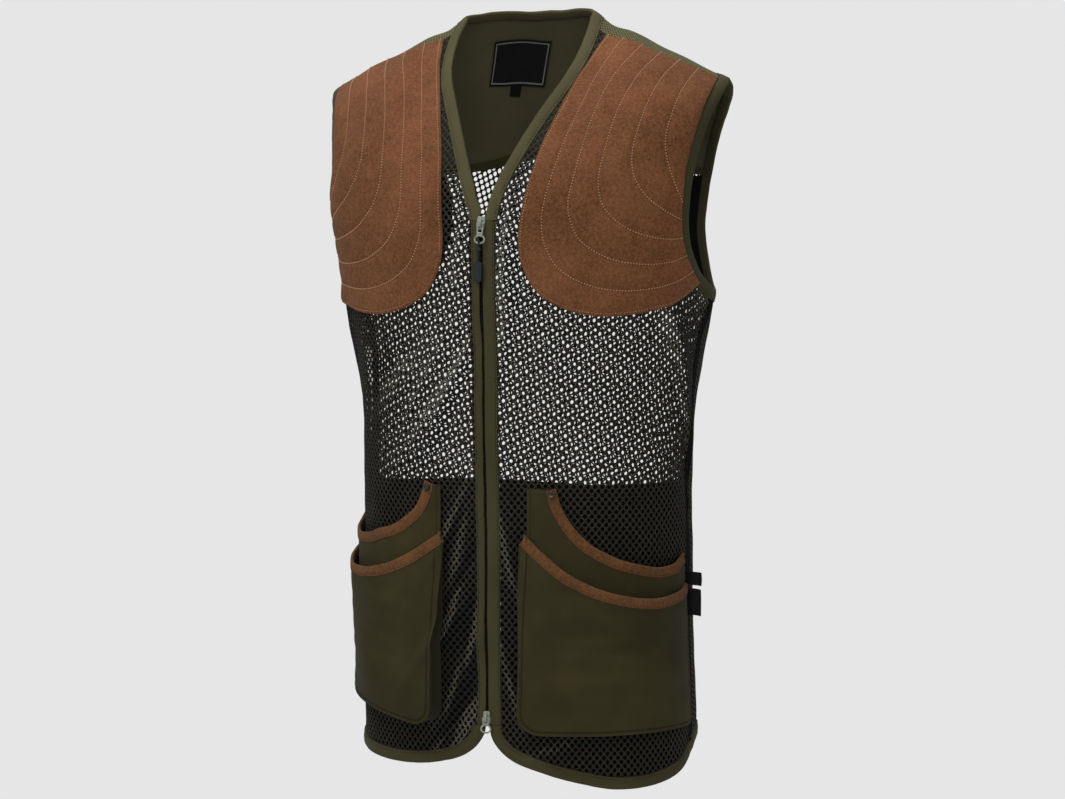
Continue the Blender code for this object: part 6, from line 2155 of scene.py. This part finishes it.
def flat_metal(name, outline, holes, low, high, look, origin, axes, bevel, segments=3):
    """A plate with holes, its edges rounded, in its own width and height, between two heights."""
    built = bmesh.new()
    edges = []
    for ring in [outline] + list(holes):
        points = [built.verts.new((x, y, low)) for x, y in ring]
        for a, b in zip(points, points[1:] + points[:1]):
            edges.append(built.edges.new((a, b)))
    bmesh.ops.triangle_fill(built, edges=edges, use_beauty=True, use_dissolve=False)
    result = bmesh.ops.extrude_face_region(built, geom=list(built.faces))
    raised = [item for item in result["geom"] if isinstance(item, bmesh.types.BMVert)]
    bmesh.ops.translate(built, vec=(0, 0, high - low), verts=raised)
    for vert in built.verts:
        vert.co = origin + axes @ np.array(vert.co)
    bmesh.ops.recalc_face_normals(built, faces=built.faces)
    mesh = bpy.data.meshes.new(name)
    built.to_mesh(mesh)
    built.free()
    mesh.materials.append(look)
    mesh.shade_smooth()
    mesh.set_sharp_from_angle(angle=math.radians(50))
    made = shown(name, mesh)
    rounding = made.modifiers.new("rounding", "BEVEL")
    rounding.width = bevel
    rounding.segments = segments
    rounding.limit_method = "ANGLE"
    rounding.angle_limit = math.radians(40)
    return made


def slider(name, reach, wide_up, look):
    """The zip's slider: a waisted plate and the arched bridge that holds its pull."""
    origin, axes = local_frame((0.0, reach), SLIDER_OUT)
    flip = SLIDER_LENGTH / 2 * (1 if wide_up else -1)
    half = [(row.width / 2 * row.share, flip * row.up) for row in SLIDER_SHAPE]
    outline = half + [(-x, y) for x, y in half[::-1]]
    plate = flat_metal(name + "_plate", outline, [], 0.0, SLIDER_PLATE * 0.8, look, origin, axes, 0.00035)
    wear(plate, "zip_metal", name)
    low = SLIDER_PLATE * 0.5
    high = SLIDER_PLATE - BAIL_WALL / 2 + BAIL_HEIGHT
    span = BAIL_LENGTH / 2
    outer = [(-span, low), (-span * 0.98, high - 0.0016), (-span * 0.72, high - 0.0002), (0, high)]
    outer += [(-x, y) for x, y in outer[-2::-1]]
    inner = [(span - BAIL_WALL, low), (span - BAIL_WALL, high - 0.0020), (span * 0.5, high - BAIL_WALL)]
    inner += [(-x, y) for x, y in inner[::-1]]
    turned = axes[:, [1, 2, 0]]
    width = BAIL_WIDTH / 2
    bridge = flat_metal(
        name + "_bridge_bar", outer + inner, [], -width, width, look, origin, turned, 0.00025
    )
    wear(bridge, "zip_metal")
    pivot_out = high - BAIL_WALL - PULL_THICK / 2 - PULL_PLAY
    return origin + axes @ np.array((0, 0, pivot_out)), axes


def pull(name, pivot, axes, length, look):
    """The flat pull: an eye round the bridge and a ring at its foot."""
    eye_half = EYE_WIDTH / 2
    side = PULL_WIDTH / 2
    narrow = eye_half * PULL_TAPER
    top = PULL_BAR / 2
    foot = -max(EYE_LENGTH, length - RING_OUTER * RING_FLAT - PULL_NECK)
    outline = [(-side * 0.8, top), (side * 0.8, top), (side, top - 0.0006), (side * PULL_TAPER, foot)]
    outline += circle(0, -length, RING_OUTER, RING_OUTER * RING_FLAT, 31, 0.32 * math.pi, -1.64 * math.pi)
    outline += [(-side * PULL_TAPER, foot), (-side, top - 0.0006)]
    eye = [(-eye_half, -top), (eye_half, -top), (narrow, foot), (-narrow, foot)]
    hole = circle(0, -length, RING_INNER, RING_INNER * HOLE_FLAT, 28)
    half = PULL_THICK / 2
    piece = flat_metal(name + "_plate", outline, [eye, hole], -half, half, look, pivot, axes, 0.00040)
    wear(piece, "zip_metal", name, body=name)


def pull_collar(pivot, axes, start, look):
    """The collar that holds the cord's two runs together."""
    half = CORD_APART + CORD_RADIUS + SEAM
    wide = CORD_RADIUS + SEAM
    outline = rounded(wide + COLLAR_WALL, half + COLLAR_WALL, COLLAR_WALL)
    hole = rounded(wide, half, COLLAR_HOLE_BEND)
    turned = [[(z, x) for x, z in ring] for ring in (outline, hole)]
    collar = flat_metal(
        "pull_collar_ring", turned[0], turned[1:], start, start + COLLAR_LENGTH, look,
        pivot, axes[:, [2, 0, 1]], 0.0003,
    )
    return wear(collar, "grip_rubber", "pull_collar", body="top_pull")


def pull_grip(pivot, axes, top, look):
    """The rubber grip, with a raised panel on each face."""
    middle = top - GRIP_LENGTH / 2
    half = GRIP_THICK / 2

    def outline(shrink, corner, steps):
        ring = rounded(GRIP_WIDTH / 2 - shrink, GRIP_LENGTH / 2 - shrink, corner, steps)
        return [(x, middle + y) for x, y in ring]

    grip = flat_metal(
        "pull_grip_body", outline(0, GRIP_CORNER, 8), [], -half, half, look, pivot, axes, 0.0009, 4
    )
    wear(grip, "grip_rubber", "pull_grip", body="top_pull")
    low, high = half - 0.0001, half + 0.00025
    for face, heights in (("back", (-high, -low)), ("front", (low, high))):
        panel = flat_metal(
            "pull_grip_face_" + face, outline(0.0016, 0.0014, 6), [], *heights, look, pivot, axes, 0.00015, 2
        )
        wear(panel, "grip_rubber", body="top_pull")
    return grip


def pull_cord(pivot, axes, looks):
    """The cord looped through the top pull's ring, its collar and its rubber grip."""
    bar_low = -TOP_PULL_LENGTH - RING_OUTER * RING_FLAT
    hole_low = -TOP_PULL_LENGTH - RING_INNER * HOLE_FLAT
    middle = (bar_low + hole_low) / 2
    round_bar = PULL_THICK / 2 + SEAM + CORD_RADIUS
    top = hole_low + SEAM + CORD_RADIUS
    grip_top = bar_low - CORD_DROP
    rows = [(grip_top - 0.004, CORD_APART), (bar_low - COLLAR_DROP, CORD_APART), (bar_low, round_bar)]
    rows += [(middle, round_bar + SEAM), (hole_low, round_bar), (top, round_bar / 2), (top + SEAM, 0)]
    rows += [(y, -z) for y, z in rows[-2::-1]]
    local = np.pad(curve(rows, 60), ((0, 0), (1, 0)))
    spots = pivot + local @ axes.T
    runs = np.gradient(local, axis=0)
    runs /= np.linalg.norm(runs, axis=1, keepdims=True)
    turns = np.linspace(0, 2 * math.pi, 12, endpoint=False)
    along = run_length(local)
    sideways = np.array((1.0, 0.0, 0.0))
    loops, flat = [], []
    for spot, run, far in zip(local, runs, along):
        other = np.cross(run, sideways)
        ring = spot + CORD_RADIUS * (np.outer(np.cos(turns), sideways) + np.outer(np.sin(turns), other))
        loops.append(pivot + ring @ axes.T)
        flat.append(np.stack([np.full(12, far), turns * CORD_RADIUS], axis=1))
    cord = loft("pull_loop", loops, [looks["cord"]], np.array(flat))
    wear(cord, "black_woven", "pull_cord", body="top_pull")
    collar = pull_collar(pivot, axes, bar_low - COLLAR_DROP - COLLAR_LENGTH, looks["rubber"])
    grip = pull_grip(pivot, axes, grip_top, looks["rubber"])


def sew(sewing, looks, tools):
    """All the sewing, one piece for each thread colour."""
    for colour, rows in sewing.items():
        item, step, thread = SEWING[colour]
        piece = set_in_rows("sewing_" + colour, item, step, looks["thread_" + thread], rows, tools)
        wear(piece, "olive_fabric")


def camera():
    """The photograph's point of view."""
    turn, lift = math.radians(VIEW_TURN), math.radians(VIEW_LIFT)
    way = Vector((math.sin(turn) * math.cos(lift), -math.cos(turn) * math.cos(lift), math.sin(lift)))
    data = bpy.data.cameras.new("view")
    data.lens = VIEW_LENS
    data.sensor_width = 36
    data.shift_x = VIEW_SHIFT
    data.clip_end = 60
    made = shown("view", data)
    made.location = Vector((0, 0, VIEW_LEVEL)) + way * VIEW_DISTANCE
    made.rotation_euler = way.to_track_quat("Z", "Y").to_euler()
    bpy.context.scene.camera = made


def lamp(name, spot, aim, size, power, colour):
    """A square soft lamp, turned to what it lights."""
    data = bpy.data.lights.new(name, "AREA")
    data.size = size
    data.energy = power
    data.color = colour
    made = shown(name, data)
    made.location = spot
    made.rotation_euler = (Vector(spot) - Vector(aim)).to_track_quat("Z", "Y").to_euler()


def studio():
    """A pale floor, a pale backdrop all round, and soft lamps."""
    pale = bpy.data.materials.new("pale_floor")
    pale.use_nodes = True
    shader = pale.node_tree.nodes["Principled BSDF"]
    shader.inputs["Base Color"].default_value = (0.78, 0.78, 0.78, 1)
    shader.inputs["Roughness"].default_value = 0.9
    bpy.ops.mesh.primitive_circle_add(vertices=96, radius=2.2, fill_type="NGON", location=(0, 0, FLOOR_LEVEL))
    floor = bpy.context.object
    floor.name = "floor"
    floor.data.materials.append(pale)
    glow = bpy.data.materials.new("pale_backdrop")
    glow.use_nodes = True
    glow.node_tree.nodes.clear()
    nodes = Nodes(glow.node_tree)
    light = nodes.add("ShaderNodeEmission", {}, {"Color": BACKDROP, "Strength": 1.0})
    nodes.add("ShaderNodeOutputMaterial", {}, {0: light})
    bpy.ops.mesh.primitive_uv_sphere_add(segments=48, ring_count=24, radius=9.0, location=(0, 0, -0.4))
    dome = bpy.context.object
    dome.name = "backdrop"
    dome.data.materials.append(glow)
    dome.data.shade_smooth()
    for kind in ("diffuse", "glossy", "transmission", "shadow", "volume_scatter"):
        setattr(dome, "visible_" + kind, False)
    world = bpy.context.scene.world or bpy.data.worlds.new("room")
    bpy.context.scene.world = world
    world.use_nodes = True
    sky = world.node_tree.nodes["Background"]
    sky.inputs["Color"].default_value = (1, 1, 1, 1)
    sky.inputs["Strength"].default_value = AMBIENT
    for row in LAMPS:
        lamp(*row)
    bpy.context.scene.view_settings.view_transform = "Standard"


def main():
    """Builds the vest, from its large panels to its sewing."""
    camera()
    studio()
    looks = all_looks()
    tools = {
        "row": row_tree(),
        "net": net_tree(),
        "cell": cell_item("net_cell", 0),
        "leaning_cell": cell_item("leaning_cell", BACK_NET_LEAN),
        "stitch": stitch_item("stitch", STITCH_LONG, THREAD),
        "quilt_stitch": stitch_item("quilt_stitch", QUILT_STITCH_LONG, QUILT_THREAD),
        "tooth": tooth_item(),
        "tack": tack_item(),
    }
    sewing = {colour: [] for colour in SEWING}
    left, right = Side(1), Side(-1)
    for half in (left, right):
        outline, distances = front_outline(half)
        net = net_panel(f"front_net_{half.name}", outline, distances, looks["net"], tools, side=half.side)
        wear(net, "net_fabric", f"front_{half.name}")
        lining(half, looks)
        pad(half, looks, sewing)
        pocket(half, looks, sewing)
        arm_lining(half, looks)
        side_seam(half, looks["lining"], sewing)
    back_net(left, right, looks["net"], tools)
    yoke(left, right, looks, sewing)
    bindings(left, right, looks, sewing)
    zip_pieces(left, right, looks, sewing, tools)
    labels(looks, sewing)
    for loop in SIDE_LOOPS:
        side_loop(loop, looks["woven_black"])
    for end, reach, length in (
        ("top", TOP_SLIDER_REACH, TOP_PULL_LENGTH),
        ("bottom", BOTTOM_SLIDER_REACH, BOTTOM_PULL_LENGTH),
    ):
        pivot, axes = slider(end + "_slider", reach, end == "top", looks["metal"])
        pull(end + "_pull", pivot, axes, length, looks["metal"])
        if end == "top":
            pull_cord(pivot, axes, looks)
    sew(sewing, looks, tools)
    for key in ("cell", "leaning_cell", "stitch", "quilt_stitch", "tooth", "tack"):
        bpy.data.objects.remove(tools[key])


main()
